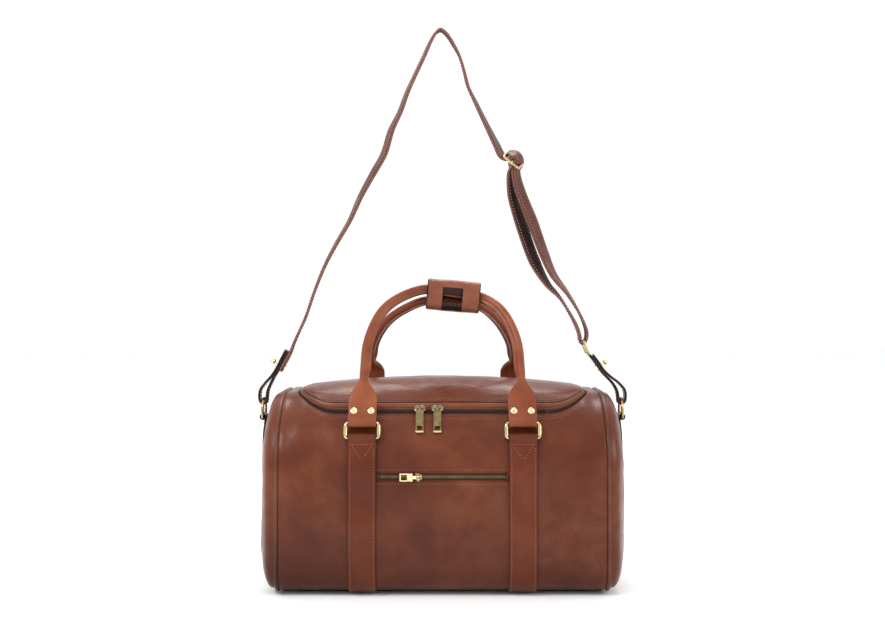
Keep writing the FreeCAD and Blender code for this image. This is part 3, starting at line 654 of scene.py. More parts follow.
# near-black underside leather; on the keeper's flap it is painted shade
UNDER = leather("leather_underside", (0.018, 0.007, 0.005), (0.032, 0.012, 0.009), (0.06, 0.024, 0.018),
                rough=(0.5, 0.7), coat=0.0, crease=0.3)
PIPE = leather("leather_piping", (0.06, 0.018, 0.010), (0.11, 0.033, 0.017), (0.20, 0.075, 0.04),
               bottom_shade=0.4, crease=0.3)
EDGE = painted("edge_dye", (0.010, 0.006, 0.005), (0.06, 0.022, 0.013))
PINK_EDGE = painted("edge_raw", (0.16, 0.060, 0.045), (0.26, 0.12, 0.10), 0.5)
THREAD = thread("thread_tan", (0.36, 0.115, 0.038), (0.14, 0.040, 0.015))
PALE_THREAD = thread("thread_pale", (0.42, 0.27, 0.19), (0.20, 0.11, 0.075))
ANTIQUE = brass("brass_antique", (0.50, 0.385, 0.195), (0.10, 0.075, 0.045), (0.24, 0.42), 0.75)
BRIGHT = brass("brass_bright", (0.86, 0.72, 0.44), (0.45, 0.33, 0.16), (0.16, 0.3), 0.4)
AGED = brass("brass_aged", (0.30, 0.235, 0.105), (0.09, 0.068, 0.034), (0.26, 0.42), 0.7)
RING = brass("brass_ring", (0.62, 0.50, 0.27), (0.16, 0.12, 0.07), (0.2, 0.36), 0.6)
DARK_METAL = brass("brass_dark", (0.34, 0.28, 0.17), (0.05, 0.042, 0.032), (0.22, 0.4), 0.8)
KEEPER = leather("leather_keeper", (0.13, 0.036, 0.018), (0.20, 0.062, 0.032), (0.30, 0.12, 0.075),
                 rough=(0.3, 0.44), crease=0.4)
TEETH = brass("brass_teeth", (0.22, 0.20, 0.12), (0.06, 0.055, 0.04), (0.3, 0.45), 0.7)
TAPE = cloth("zip_tape", (0.115, 0.038, 0.021), (0.060, 0.019, 0.011), 0.0007, sheen=0.02)
COIL = leather("zip_coil", (0.014, 0.008, 0.006), (0.030, 0.016, 0.011), (0.06, 0.034, 0.024),
               rough=(0.3, 0.45), crease=0.2)
LINING = cloth("lining_cotton", (0.30, 0.235, 0.165), (0.19, 0.145, 0.10), 0.0009)
BOARD = cloth("board_fibre", (0.20, 0.15, 0.10), (0.13, 0.095, 0.06), 0.0016, sheen=0.0)
CORE = cloth("core_rope", (0.42, 0.36, 0.27), (0.25, 0.20, 0.14), 0.0022, sheen=0.1)


def dress(name, material):
    """Give a CAD piece that is kept its finish."""
    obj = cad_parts[name]
    if not obj.material_slots:
        obj.data.materials.append(material)
    for slot in obj.material_slots:
        slot.material = material
    return obj


# ---------------------------------------------------------------- leather strips

def ribbon(mesh, line, across, half, thick, hints, lift):
    """A flat strap along a line: face 0, edges 1, back 2. Returns its outward side at each point."""
    t, h, r = thick / 2, half, 0.6
    shape = ((-h, -t + r), (-h, t - r), (-h + r, t * 0.98), (-h + 1.5, t), (-h * 0.5, t + lift * 0.75),
             (0, t + lift), (h * 0.5, t + lift * 0.75), (h - 1.5, t), (h - r, t * 0.98), (h, t - r),
             (h, -t + r), (h - r, -t), (0, -t), (-h + r, -t))
    rings, outs = [], []
    for p, way, hint in zip(line, ways(line), hints):
        a = (across - way * across.dot(way)).normalized()
        n = way.cross(a).normalized()
        if n.dot(hint) < 0:
            n = -n
        rings.append([p + a * w + n * u for w, u in shape])
        outs.append(n)
    mesh.loft(rings, [1, 1, 0, 0, 0, 0, 0, 0, 1, 1, 1, 2, 2, 1])
    return outs


def seam(mesh, line, across, outs, offset, height):
    """A row of stitches on a ribbon, at an offset from its middle line."""
    row = [p + across * offset + n * height for p, n in zip(line, outs)]
    mesh.stitches(row, outs, 3.1, 2.25, 0.4, 3)


# ---------------------------------------------------------------- the bag's shell

def skin_row(s, sign):
    """One row of a panel from seam to seam; the skin dips into its seams."""
    wide, count, dip = 190.6, 132, 1.4
    y, z, ny, nz = on_profile(s, sign)
    row = []
    for j in range(count + 1):
        x = -wide + 2 * wide * j / count
        sink = dip * (1 - ease(0.0, 5.0, wide - abs(x))) ** 2
        row.append(Vector((x, y - ny * sink, z - nz * sink)))
    return row


def make_front():
    """The front panel, open at the mouth and at the pocket's slit."""
    last = S_TOP + SHOULDER_Y + FOLD_Y
    rows = []
    steps = round(last / 2.6)
    for i in range(steps + 1):
        rows.append(skin_row(0.25 + (last - 0.5) * i / steps, -1))
    wide = len(rows[0])
    points = [p for row in rows for p in row]

    def keep(p):
        if p.z > 150:
            return mouth_offset(p.x, p.y) - BODY_EDGE - 0.6
        if p.y < -100 and abs(p.z - SLIT_Z) < 20:
            return max(abs(p.x) - SLIT_X, abs(p.z - SLIT_Z) - 4.4)
        return 1.0

    value = [keep(p) for p in points]
    mesh = Mesh()
    cuts, faces = {}, []
    for i in range(len(rows) - 1):
        for j in range(wide - 1):
            a = i * wide + j
            face = [a, a + 1, a + wide + 1, a + wide]
            if all(value[k] >= 0 for k in face):
                faces.append(face)
                continue
            if all(value[k] < 0 for k in face):
                continue
            part = []
            for k, m in zip(face, face[1:] + face[:1]):
                if value[k] >= 0:
                    part.append(k)
                if (value[k] >= 0) != (value[m] >= 0):
                    key = (min(k, m), max(k, m))
                    if key not in cuts:
                        share = value[key[0]] / (value[key[0]] - value[key[1]])
                        cuts[key] = len(points)
                        points.append(points[key[0]].lerp(points[key[1]], share))
                    part.append(cuts[key])
            if len(part) > 2:
                faces.append(part)
    points, faces = compact(points, faces)
    sample = faces[len(faces) // 3]
    mesh.add(points, facing(points, faces, sample, points[sample[0]] - INSIDE))
    stations = mouth_line(2.5)
    mesh.tube([mouth_point(s, BODY_EDGE + 0.9, 1.15) for s in stations], 1.3, 0)
    row = [mouth_point(s, BODY_EDGE + 4.0, 0.0) for s in stations]
    mesh.stitches(row[2:-2], [skin_up(p) for p in row[2:-2]], 3.1, 2.2, 0.42, 1)
    y = -HALF_DEPTH
    welt = 5.2
    for up in (-1, 1):
        mesh.tube([Vector((x, y + 0.6, SLIT_Z + up * welt)) for x in range(-75, 76, 5)], 1.15, 0)
        line = [Vector((x, y, SLIT_Z + up * (welt + 2.9))) for x in range(-78, 79, 3)]
        mesh.stitches(line, -Y, 3.0, 2.1, 0.4, 1)
    for side in (-1, 1):
        mesh.tube([Vector((side * 75.2, y + 0.6, SLIT_Z + dz)) for dz in (-5, 0, 5)], 1.1, 0)
        line = [Vector((side * 78.2, y, SLIT_Z + dz)) for dz in (-8, -4, 0, 4, 8)]
        mesh.stitches(line, -Y, 3.0, 2.1, 0.4, 1)
    mesh.piece("front_panel_skin", [BODY, THREAD], "bag", soft=True, replaces=["front_panel"])


def make_back():
    """The back panel, up to the fold of the lid."""
    top = S_SHOULDER + SHOULDER_R * math.acos((FOLD_Y - SHOULDER_Y) / SHOULDER_R)
    steps = round(top / 2.8)
    rows = [skin_row(0.25 + (top - 0.25) * i / steps, 1) for i in range(steps + 1)]
    mesh = Mesh()
    mesh.grid(rows, INSIDE)
    crease = [p + Vector((0, 0.8, -0.1)) for p in rows[-1]]
    mesh.tube(crease[3:-3], 1.0, 0, 8)
    line = [p + Vector((0, 3.6, -1.6)) for p in rows[-1]][6:-6]
    mesh.stitches(line, Vector((0, 0.42, 0.9)), 3.1, 2.2, 0.42, 1)
    mesh.piece("back_panel_skin", [BODY, THREAD], "bag", soft=True, replaces=["back_panel"])


def make_base():
    """A second layer of leather under the base, stitched round its edge."""
    mesh = Mesh()
    wide, deep = 188.0, 84.0
    rows = []
    for i in range(41):
        y = -deep + 2 * deep * i / 40
        rows.append([Vector((-wide + 2 * wide * j / 80, y, 2.15)) for j in range(81)])
    mesh.slab(rows, 2.1, 0, 1)
    for off in (4.0, 6.6):
        w, d = wide - off, deep - off
        corners = [(-w, -d), (w, -d), (w, d), (-w, d), (-w, -d)]
        for a, b in zip(corners, corners[1:]):
            mesh.stitches([Vector(a + (0.05,)).lerp(Vector(b + (0.05,)), k / 60) for k in range(61)],
                          -Z, 3.4, 2.4, 0.4, 2, rise=-0.15)
    mesh.piece("base_panel_skin", [STRAP, EDGE, THREAD], "bag", replaces=["base_panel"])


def profile_ring(x, scale, depth=0.0, count=168):
    """Points round the body's profile at x, scaled about the middle of the end."""
    out = []
    total = S_TOP + SHOULDER_Y
    for k in range(count):
        s = 2 * total * k / count
        sign = 1 if s <= total else -1
        y, z, ny, nz = on_profile(s if s <= total else 2 * total - s, sign, depth)
        middle = (TOP_Z + SKIN_Z) / 2
        out.append(Vector((x, y * scale, middle + (z - middle) * scale)))
    return out


def make_end(side):
    """A domed end panel of soft leather, and the piping in its seam."""
    name = "right" if side > 0 else "left"
    mesh = Mesh()
    rings = []
    levels = 34
    for i in range(levels + 1):
        t = i / levels
        scale = 1 - t ** 1.15 * 0.985
        x = 194.2 + 24.3 * (1 - scale ** 3.4) ** 0.5
        ring = profile_ring(side * x, scale)
        for k, p in enumerate(ring):
            firm = 1 - 0.85 * hump(0, 26, p.y) * ease(120, 150, p.z)
            sink = 1.6 + 1.7 * waves(p.y * 0.018, p.z * 0.016, 20.0 + side)
            sink += 0.7 * waves(p.y * 0.05, p.z * 0.05, 30.0 + side)
            inward = max(0.0, sink) * ease(0.03, 0.4, t) * firm
            seam_dip = 1.8 * (1 - ease(0.0, 0.05, t))
            middle = INSIDE + X * (side * 100)
            ring[k] = p - (p - middle).normalized() * (inward + seam_dip)
        rings.append(ring)
    mesh.dome(rings, X * side)
    mesh.piece("end_panel_" + name + "_skin", [BODY], "bag", soft=True,
               replaces=["end_panel_" + name])
    pipe = Mesh()
    pipe.tube(profile_ring(side * 192.3, 1.0, 0.9, 220), 2.3, 0, 12, closed=True)
    pipe.piece("piping_" + name + "_roll", [PIPE], "bag", soft=True,
               replaces=["piping_" + name])


# ---------------------------------------------------------------- mouth, zip and lid

LID_PIECES = []


def mouth_strip(mesh, shape, stations, finish=0):
    """A strip round the mouth: shape is a closed outline of (offset, depth)."""
    mesh.loft([[mouth_point(s, o, d) for o, d in shape] for s in stations], finish)


def lid_rows(edge, depth, gap=0.0):
    """Rows of points over the lid inside an offset of the zip's middle line."""
    r = MOUTH_R + edge
    reach = MOUTH_R + edge * SIDE_SHARE
    rows = []
    turns = 24
    for k in range(turns + 1):
        a = math.pi / 2 * k / turns
        rows.append((SIDE_Y - r * math.cos(a), SIDE_X + reach * math.sin(a)))
    steps = 26
    back = FOLD_Y - gap
    for k in range(1, steps + 1):
        rows.append((SIDE_Y + (back - SIDE_Y) * k / steps, SIDE_X + reach))
    count = 96
    return [[on_top(-w + 2 * w * j / count, y, depth) for j in range(count + 1)] for y, w in rows]


def make_lid():
    mesh = Mesh()
    rows = lid_rows(LID_EDGE, 0.0)
    for row in rows:
        for p in row:
            rim = ease(0, 24, LID_EDGE - mouth_offset(p.x, p.y))
            p.z += 2.6 * rim * (1 - rim * 0.5) * ease(0, 24, FOLD_Y - p.y)
    mesh.slab(rows, 2.0, 0, 1)
    stations = mouth_line(2.5)
    mesh.tube([mouth_point(s, LID_EDGE + 0.1, 0.7) for s in stations], 1.05, 1, 8)
    row = [mouth_point(s, LID_EDGE - 3.0, -0.35) for s in stations]
    mesh.stitches(row[1:-1], [skin_up(p) for p in row[1:-1]], 3.0, 2.15, 0.42, 2)
    LID_PIECES.append(mesh.piece("lid_panel_skin", [BODY, EDGE, THREAD], soft=True,
                                 replaces=["lid_panel"]))
    border = Mesh()
    mouth_strip(border, ((-10.2, 2.4), (-9.8, 1.0), (-8.6, 0.3), (-7.4, 0.1), (-6.3, 0.4),
                         (-5.6, 1.2), (-5.5, 2.0), (-5.7, 2.5)), stations)
    LID_PIECES.append(border.piece("lid_border_strip", [BORDER],
                                   soft=True, replaces=["lid_border"]))
    lining = Mesh()
    rows = lid_rows(-11.5, 3.7, 0.6)
    for row in rows:
        for p in row:
            p.z -= 0.5 + 0.5 * waves(p.x * 0.03, p.y * 0.04, 40.0)
    lining.slab(rows, 0.6, 0)
    LID_PIECES.append(lining.piece("lid_lining_cloth", [LINING], soft=True,
                                   replaces=["lid_lining"]))


def tooth(mesh, near, far, u, v, outline):
    """A zip's tooth; outline is (share of the way from near to far, radius)."""
    mesh.loft([oval(near.lerp(far, share), u * r, v * r, 6) for share, r in outline])


def make_zip():
    """Two tapes, and the small teeth of each half along their edges."""
    stations = mouth_line(2.5)
    for sign, owner in ((-1, "lid"), (1, "body")):
        tape = Mesh()
        inner, outer = (-15.0, -0.35) if sign < 0 else (0.35, 15.0)
        ridge = -3.6 if sign < 0 else 4.6
        mouth_strip(tape, ((inner, 3.2), (inner, 2.6), (ridge - 1.2, 2.3), (ridge, 1.75),
                           (ridge + 1.2, 2.3), (outer, 2.5), (outer, 3.2)), stations)
        row = [mouth_point(s, ridge, 1.75) for s in stations]
        tape.stitches(row, [skin_up(p) for p in row], 2.7, 1.9, 0.34, 1)
        stitching = PALE_THREAD if sign < 0 else THREAD
        finished = tape.piece("main_zip_tape_" + owner + "_cloth", [TAPE, stitching],
                              soft=True, replaces=["main_zip_tape_" + owner])
        teeth = Mesh()
        fine = mouth_line(2.0)
        for k, station in enumerate(fine[1:-1]):
            near = mouth_point(station, sign * (0.1 if k % 2 else 0.35), 1.5)
            far = mouth_point(station, sign * 1.7, 1.8)
            way = (far - near).normalized()
            flat = Vector((station[3], -station[2], 0))
            up = way.cross(flat).normalized()
            if up.z < 0:
                up = -up
            tooth(teeth, near, far, flat, up * 1.15, ((0, 0.3), (0.14, 0.66), (0.5, 0.6), (1, 0.34)))
        chain = teeth.piece("main_zip_teeth_" + owner, [COIL], soft=True,
                            replaces=["main_zip_coil_" + owner])
        for obj in (finished, chain):
            if sign < 0:
                LID_PIECES.append(obj)
            else:
                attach(obj, "bag")


def make_pocket():
    """The pocket's tape, its teeth, and the cloth pouch behind the panel."""
    y = -HALF_DEPTH
    tape = Mesh()
    for up in (-1, 1):
        rows = []
        for level in range(5):
            z = SLIT_Z + up * (0.4 + 5.0 * level / 4)
            rows.append([Vector((x, y + 1.4 + 0.5 * level / 4, z)) for x in range(-74, 75, 4)])
        tape.grid(rows, (0, 0, SLIT_Z))
    tape.piece("pocket_zip_tape_cloth", [TAPE], "bag", soft=True,
               replaces=["pocket_zip_tape"])
    teeth = Mesh()
    count = 122
    for k in range(count):
        x = -73.2 + 146.4 * k / (count - 1)
        up = -1 if k % 2 else 1
        near = Vector((x, y + 0.35, SLIT_Z - up * 0.75))
        far = Vector((x, y + 0.55, SLIT_Z + up * 2.2))
        tooth(teeth, near, far, X, Y, ((0, 0.3), (0.2, 0.56), (0.7, 0.5), (1, 0.36)))
    teeth.piece("pocket_zip_teeth", [TEETH], "bag", soft=True,
                replaces=["pocket_zip_coil"])
    pouch = Mesh()
    rings = []
    for i in range(13):
        z = 46 + 99 * i / 12
        half_t = 1.3 * math.sin(math.pi * min(0.5, (i + 0.6) / 24)) + 0.2
        ring = []
        for a in turns(28):
            x = 81 * math.copysign(abs(math.cos(a)) ** 0.35, math.cos(a))
            ring.append(Vector((x, -110.7 + half_t * math.sin(a), z)))
        rings.append(ring)
    pouch.loft(rings)
    pouch.piece("pocket_pouch_cloth", [LINING], "bag", soft=True,
                replaces=["pocket_pouch"])


def make_lining():
    """The cloth bag inside, hanging in shallow folds."""
    mesh = Mesh()
    half = 185.4
    depth = 6.6
    for sign in (-1, 1):
        last = S_TOP + (SHOULDER_Y + FOLD_Y if sign < 0 else -39.0)
        steps = 96
        rows = []
        for i in range(steps + 1):
            s = last * i / steps
            row = []
            for j in range(101):
                x = -half + 2 * half * j / 100
                fold = 0.9 + 0.9 * waves(x * 0.03, s * 0.012, 50.0 + sign)
                y, z, ny, nz = on_profile(s, sign, depth)
                row.append(Vector((x, y - ny * fold, z - nz * fold)))
            rows.append(row)
        wide = len(rows[0])
        flat = [p for row in rows for p in row]
        faces = []
        for i in range(steps):
            for j in range(wide - 1):
                face = [i * wide + j, i * wide + j + 1, (i + 1) * wide + j + 1, (i + 1) * wide + j]
                middle = (flat[face[0]] + flat[face[2]]) / 2
                if middle.z > 150 and mouth_offset(middle.x, middle.y) < 8.5:
                    continue
                faces.append(face)
        kept, faces = compact(flat, faces)
        for p in kept:
            off = mouth_offset(p.x, p.y)
            if p.z > 150 and off < 11.5:
                reach = min(5.0, max(0.0, 8.6 - off))
                if p.y < SIDE_Y and abs(p.x) < SIDE_X:
                    p.y -= reach
                else:
                    p.x += math.copysign(reach * SIDE_SHARE, p.x)
        mesh.add(kept, [face[::-1] for face in faces] if sign > 0 else faces)
    for side in (-1, 1):
        outer = profile_ring(side * half, 1.0, depth + 0.4, 120)
        rings = []
        for i in range(9):
            scale = 1 - i / 9 * 0.98
            ring = []
            for p in outer:
                q = Vector((p.x, p.y * scale, 118.7 + (p.z - 118.7) * scale))
                q.x -= side * (1.2 + 1.5 * waves(q.y * 0.03, q.z * 0.03, 60.0 + side)) * (i > 0)
                ring.append(q)
            rings.append(ring)
        mesh.dome(rings)
    mesh.piece("lining_cloth", [LINING], "bag", soft=True, replaces=["lining"])


# ---------------------------------------------------------------- straps, rings and handles

def make_strap(side, x, name):
    """A strap up the body that folds round its ring's lower bar and is sewn down behind itself."""
    sign = -1 if side == "front" else 1
    bar_y, bar_z = LOWER_BAR[side]
    cy, cz = sign * SHOULDER_Y, SHOULDER_Z
    bar_a = math.atan2(bar_z - cz, sign * (bar_y - cy))
    loop = 3.9

    def at(a, r):
        return Vector((x, cy + sign * r * math.cos(a), cz + r * math.sin(a)))

    line = []
    low = 86.0
    wall, bend, turn = 66, 30, 13
    for k in range(wall):
        s = low + (S_SHOULDER - low) * k / wall
        rise = 1.3 + 2.1 * ease(0.86, 1.0, k / wall)
        y, z, ny, nz = on_profile(s, sign, -rise)
        line.append(Vector((x, y, z)))
    for k in range(bend):
        a = bar_a * k / bend
        line.append(at(a, SHOULDER_R + 3.4 + 5.2 * ease(bar_a - math.radians(4.4), bar_a, a)))
    bar = Vector((x, bar_y, bar_z))
    out = (at(bar_a, 1) - at(bar_a, 0)).normalized()
    up = Vector((0, -sign * math.sin(bar_a), math.cos(bar_a)))
    for k in range(turn):
        a = math.pi * k / (turn - 1)
        line.append(bar + out * (loop * math.cos(a)) + up * (loop * math.sin(a)))
    for k in range(1, 14):
        line.append(at(bar_a - (bar_a - math.radians(7)) * k / 13, SHOULDER_R + 1.3))
    hint = []
    for i, p in enumerate(line):
        if i < wall + bend:
            hint.append(Vector((0, p.y * (1 if p.z > 30 else 0.4), p.z - INSIDE.z)).normalized())
        elif i < wall + bend + turn:
            hint.append((p - bar).normalized())
        else:
            hint.append(-Vector((0, p.y, p.z - INSIDE.z)).normalized())
    mesh = Mesh()
    outs = ribbon(mesh, line, X, STRAP_W / 2, 2.0, hint, 0.15)
    cross = wall + bend - 5
    for off in (-13.5, 13.5):
        seam(mesh, line[6:cross], X, outs[6:cross], off, 1.0)
    p, n = line[cross], outs[cross]
    row = [p + X * (-13.5 + 27 * k / 12) + n * 1.05 for k in range(13)]
    mesh.stitches(row, n, 3.0, 2.2, 0.42, 3)
    below = [k for k in range(cross, 0, -1)
             if sum((line[j] - line[j - 1]).length for j in range(k + 1, cross + 1)) < 19]
    for end in (-12.5, 12.5):
        row = [line[k] + X * (end * (1 - i / (len(below) - 1))) + outs[k] * 1.05
               for i, k in enumerate(below)]
        mesh.stitches(row, n, 3.0, 2.2, 0.42, 3)
    mesh.piece(name + "_leather", [STRAP, EDGE, UNDER, THREAD], "bag", soft=True,
               replaces=[name])


def make_ring(side, x, name):
    """A ring with slim bars and fat, half-moon sides."""
    low, high = Vector((0,) + LOWER_BAR[side]), Vector((0,) + UPPER_BAR[side])
    up = (high - low).normalized()
    tall = (high - low).length
    half = [(15.0, 0.0), (17.6, 0.5), (18.9, 2.6), (19.3, tall / 2), (18.9, tall - 2.6),
            (17.6, tall - 0.5), (15.0, tall)]
    loop = half + [(-a, b) for a, b in reversed(half)]
    path = through([(a, 0, b) for a, b in loop + loop[:1]], 1.0)[:-1]
    radius = [1.9 + 0.75 * ease(16.0, 19.0, abs(p.x)) for p in path]
    mesh = Mesh()
    mesh.tube([low + X * (x + p.x) + up * p.z for p in path], radius, 0, 14, closed=True)
    mesh.piece(name + "_metal", [RING], name, replaces=[name])


def make_handle(side, tab, full, narrow, slope, start, line):
    """A rolled handle: two flat tabs that close round the rings and narrow into a stitched roll."""
    bar = UPPER_BAR[side]
    turn = math.radians(tab)

    def leg(x):
        return [(x, bar[0] + u * math.cos(turn), bar[1] + u * math.sin(turn)) for u in start]

    path = through(leg(-STRAP_X) + list(line) + leg(STRAP_X)[::-1], 1.5)
    gone = lengths(path)
    total = gone[-1]
    heading = ways(path)
    mesh = Mesh()
    rings, frames = [], []
    count = 32
    for p, way, d in zip(path, heading, gone):
        near = min(d, total - d) - 5.0
        change = ease(full - 4, full + narrow, near)
        wide = 16.5 + (5.0 - 16.5) * change
        thick = 3.3 + 1.7 * ease(full + 2, full + narrow, near)
        if near < 0:
            thick = math.sqrt(max(0.3, 25.0 - near * near))
        elif near < 9:
            thick = 5.0 - 1.7 * ease(0, 9, near)
        power = 0.22 + 0.78 * ease(full + 4, full + narrow, near)
        lip = ease(full + narrow - 8, full + narrow + 14, near)
        a = math.radians(tab + (slope - tab) * ease(full - 8, full + 8, near))
        b = Vector((0, -math.sin(a), math.cos(a)))
        n = way.cross(b).normalized()
        b = n.cross(way).normalized()
        ring = []
        for k, t in enumerate(turns(count)):
            c, s = math.cos(t), math.sin(t)
            u = wide * math.copysign(abs(c) ** power, c)
            v = thick * math.copysign(abs(s) ** power, s)
            step = min(k, count - k)
            if step <= 3:
                lip_u, lip_v = ((8.1, 0.0), (7.9, 1.1), (6.6, 1.45), (4.9, 1.7))[step]
                sided = 1 if k <= 3 else -1
                u += (lip_u - u) * lip
                v += (lip_v * sided - v) * lip
            ring.append(p + n * u + b * v)
        rings.append(ring)
        frames.append((p, n, b, thick, lip, near))
    kinds = []
    for k in range(count):
        t = 2 * math.pi * (k + 0.5) / count
        kinds.append(1 if abs(math.cos(t)) > 0.985 and math.cos(t) > 0 else 0)
    mesh.loft(rings, kinds)
    for face in (1, -1):
        inner = [p + n * (4.6 + 2.0 * lip) + b * face * (thick + (1.5 - thick) * lip + 0.1)
                 for p, n, b, thick, lip, near in frames if near > 7]
        mesh.stitches(inner, [f[2] * face for f in frames if f[-1] > 7], 3.2, 2.3, 0.42, 2)
        stop = full + narrow + 26
        for part in (frames[:len(frames) // 2], frames[len(frames) // 2:]):
            used = [f for f in part if 7 < f[-1] < stop]
            outer = [p - n * (4.8 - 1.6 * ease(full, full + narrow, near)) + b * face
                     * (thick - 1.0 * ease(full + 6, full + narrow, near) + 0.1)
                     for p, n, b, thick, lip, near in used]
            mesh.stitches(outer, [f[2] * face for f in used], 3.2, 2.3, 0.42, 2)
    mesh.piece(side + "_handle_roll", [TRIM, EDGE, THREAD], side + "_handle",
               replaces=[side + "_handle_leather"])
    rivets = Mesh()
    along = Vector((0, math.cos(turn), math.sin(turn)))
    out = Vector((0, -math.sin(turn), math.cos(turn)))
    foot = Vector((0, bar[0], bar[1])) + along * 14.6
    for x in (-STRAP_X, STRAP_X):
        for dx in (-10.0, 10.0):
            for way in (out, -out):
                rivets.turned(foot + X * (x + dx) + way * 3.2, way,
                              ((0, 4.1), (0.5, 4.25), (1.1, 3.9), (1.45, 3.0), (1.3, 2.3), (0.95, 1.8),
                               (1.0, 0.9), (1.15, 0.2)), 0, 24)
    rivets.piece(side + "_handle_rivet_caps", [BRIGHT], side + "_handle",
                 replaces=[side + "_handle_rivets"])
    dress(side + "_handle_core", CORE)


def make_keeper():
    """The sleeve round both handles, with a window in its front for its tuck-in tongue."""
    mid = Vector((13.4, 0.0, 347.4))
    half_y, half_z, r, t = 17.2, 19.0, 9.0, 1.9
    outline = []
    for k in range(9):
        outline.append((-half_y, 10.0 - 20.0 * k / 8, -1.0, 0.0))
    corners = ((-half_y + r, -half_z + r, 180), (half_y - r, -half_z + r, 270),
               (half_y - r, half_z - r, 0), (-half_y + r, half_z - r, 90))
    for n, (cy, cz, a0) in enumerate(corners):
        for k in range(1, 9 if n < 3 else 8):
            a = math.radians(a0 + 90 * k / 8)
            outline.append((cy + r * math.cos(a), cz + r * math.sin(a), math.cos(a), math.sin(a)))
        if n == 1:
            outline += [(half_y, -10 + 20 * k / 5, 1.0, 0.0) for k in range(1, 6)]
            outline.pop(-1)
    turn = Matrix.Rotation(math.radians(5.0), 4, "Y")

    def at(x, y, z):
        return mid + turn @ Vector((x, y, z))

    # the window: its two ends along the sleeve, and how many sides of the outline it takes up
    half_x, left, right, sides = 31.8, -13.6, 11.4, 13
    spots = sorted([-half_x + 2 * half_x * k / 22 for k in range(23)] + [left, right])
    mesh = Mesh()
    count = len(outline)
    for depth, flip in ((0.0, False), (t, True)):
        points, faces, kinds = [], [], []
        for x in spots:
            puff = 0.7 * math.cos(math.pi * x / 68)
            for y, z, ny, nz in outline:
                push = puff * (0.4 + 0.6 * abs(nz)) - depth
                push += 0.35 * waves(x * 0.08, (y + z) * 0.08, 70.0)
                points.append(at(x, y + ny * push, z + nz * push))
        for i in range(len(spots) - 1):
            for j in range(count):
                k = (j + 1) % count
                if j < sides and left - 0.1 < (spots[i] + spots[i + 1]) / 2 < right + 0.1:
                    continue
                face = [i * count + j, (i + 1) * count + j, (i + 1) * count + k, i * count + k]
                faces.append(face[::-1] if flip else face)
                kinds.append(2 if flip else 0)
        a, b, c = (points[k] for k in faces[0][:3])
        if ((b - a).cross(c - a).y > 0) != flip:
            faces = [face[::-1] for face in faces]
        mesh.add(points, faces, kinds)
    for x in (spots[0], spots[-1]):
        ring = [at(x, y + ny * (-t / 2), z + nz * (-t / 2)) for y, z, ny, nz in outline]
        mesh.tube(ring, t / 2 + 0.12, 1, 8, closed=True)
        side = 2.6 if x < 0 else -2.6
        row = [at(x + side, y + ny * 0.15, z + nz * 0.15) for y, z, ny, nz in outline + outline[:1]]
        outs = [turn @ Vector((0, ny, nz)) for y, z, ny, nz in outline]
        mesh.stitches(row, outs, 3.0, 2.2, 0.42, 3)
    rim = [(y - ny * t / 2, z - nz * t / 2) for y, z, ny, nz in outline[:sides + 1]]
    frame_line = [at(left, y, z) for y, z in rim] + [at(right, y, z) for y, z in reversed(rim)]
    mesh.tube(frame_line, t / 2 + 0.05, 1, 8, closed=True)
    # the tongue that hangs behind the window's top, and the lip behind its bottom
    behind = [-14.8 + 26 * j / 12 for j in range(13)]
    flap, band = [], []
    for u in (k / 8 for k in range(9)):
        flap.append([at(x, -half_y + 1.2 + 3.4 * u,
                        10.4 - 9.6 * u + 1.2 * math.sin(math.pi * (x + 14.4) / 25)) for x in behind])
    # painted shade: the flap takes the near-black underside finish, which stands in for the shade under the
    # window's top edge
    mesh.slab(flap, 1.2, 2)
    for u in (k / 7 for k in range(8)):
        band.append([at(x, -half_y + 1.6 + 5.4 * u * u, -8.2 - 8.8 * u) for x in behind])
    mesh.slab(band, 1.6, 1)
    obj = mesh.piece("keeper_sleeve", [KEEPER, EDGE, UNDER, THREAD], "front_handle",
                     replaces=["keeper_wrap"])
    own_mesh(obj)


# ---------------------------------------------------------------- zip sliders

def slider_metal(mesh, place, half_x, half_y):
    """A slider's domed plate, its arched bail and the two ball knobs that hold the pin."""
    rings = []
    for level, grow in ((-1.6, -0.5), (-1.3, 0.0), (-0.3, 0.0), (0.1, -0.5), (0.45, -1.8), (0.6, -3.4)):
        ring = []
        for a in turns(28):
            x = (half_x + grow) * math.copysign(abs(math.cos(a)) ** 0.6, math.cos(a))
            y = (half_y + grow * 0.8) * math.copysign(abs(math.sin(a)) ** 0.6, math.sin(a))
            ring.append(place @ Vector((x, y * (1 - 0.12 * math.cos(a)), level)))
        rings.append(ring)
    mesh.loft(rings)
    for x in (-2.8, 2.8):
        bail = [place @ Vector((x, -3.1 * math.cos(a), -0.4 + 3.9 * math.sin(a)))
                for a in (math.pi * k / 10 for k in range(11))]
        mesh.tube(bail, 0.75, 0, 8)
        mesh.ball(place @ Vector((x * 1.18, 0, 3.0)), 1.75)
    mesh.tube([place @ Vector((-3.2, 0, 3.0)), place @ Vector((0, 0, 3.0)), place @ Vector((3.2, 0, 3.0))],
              0.85, 0, 10)


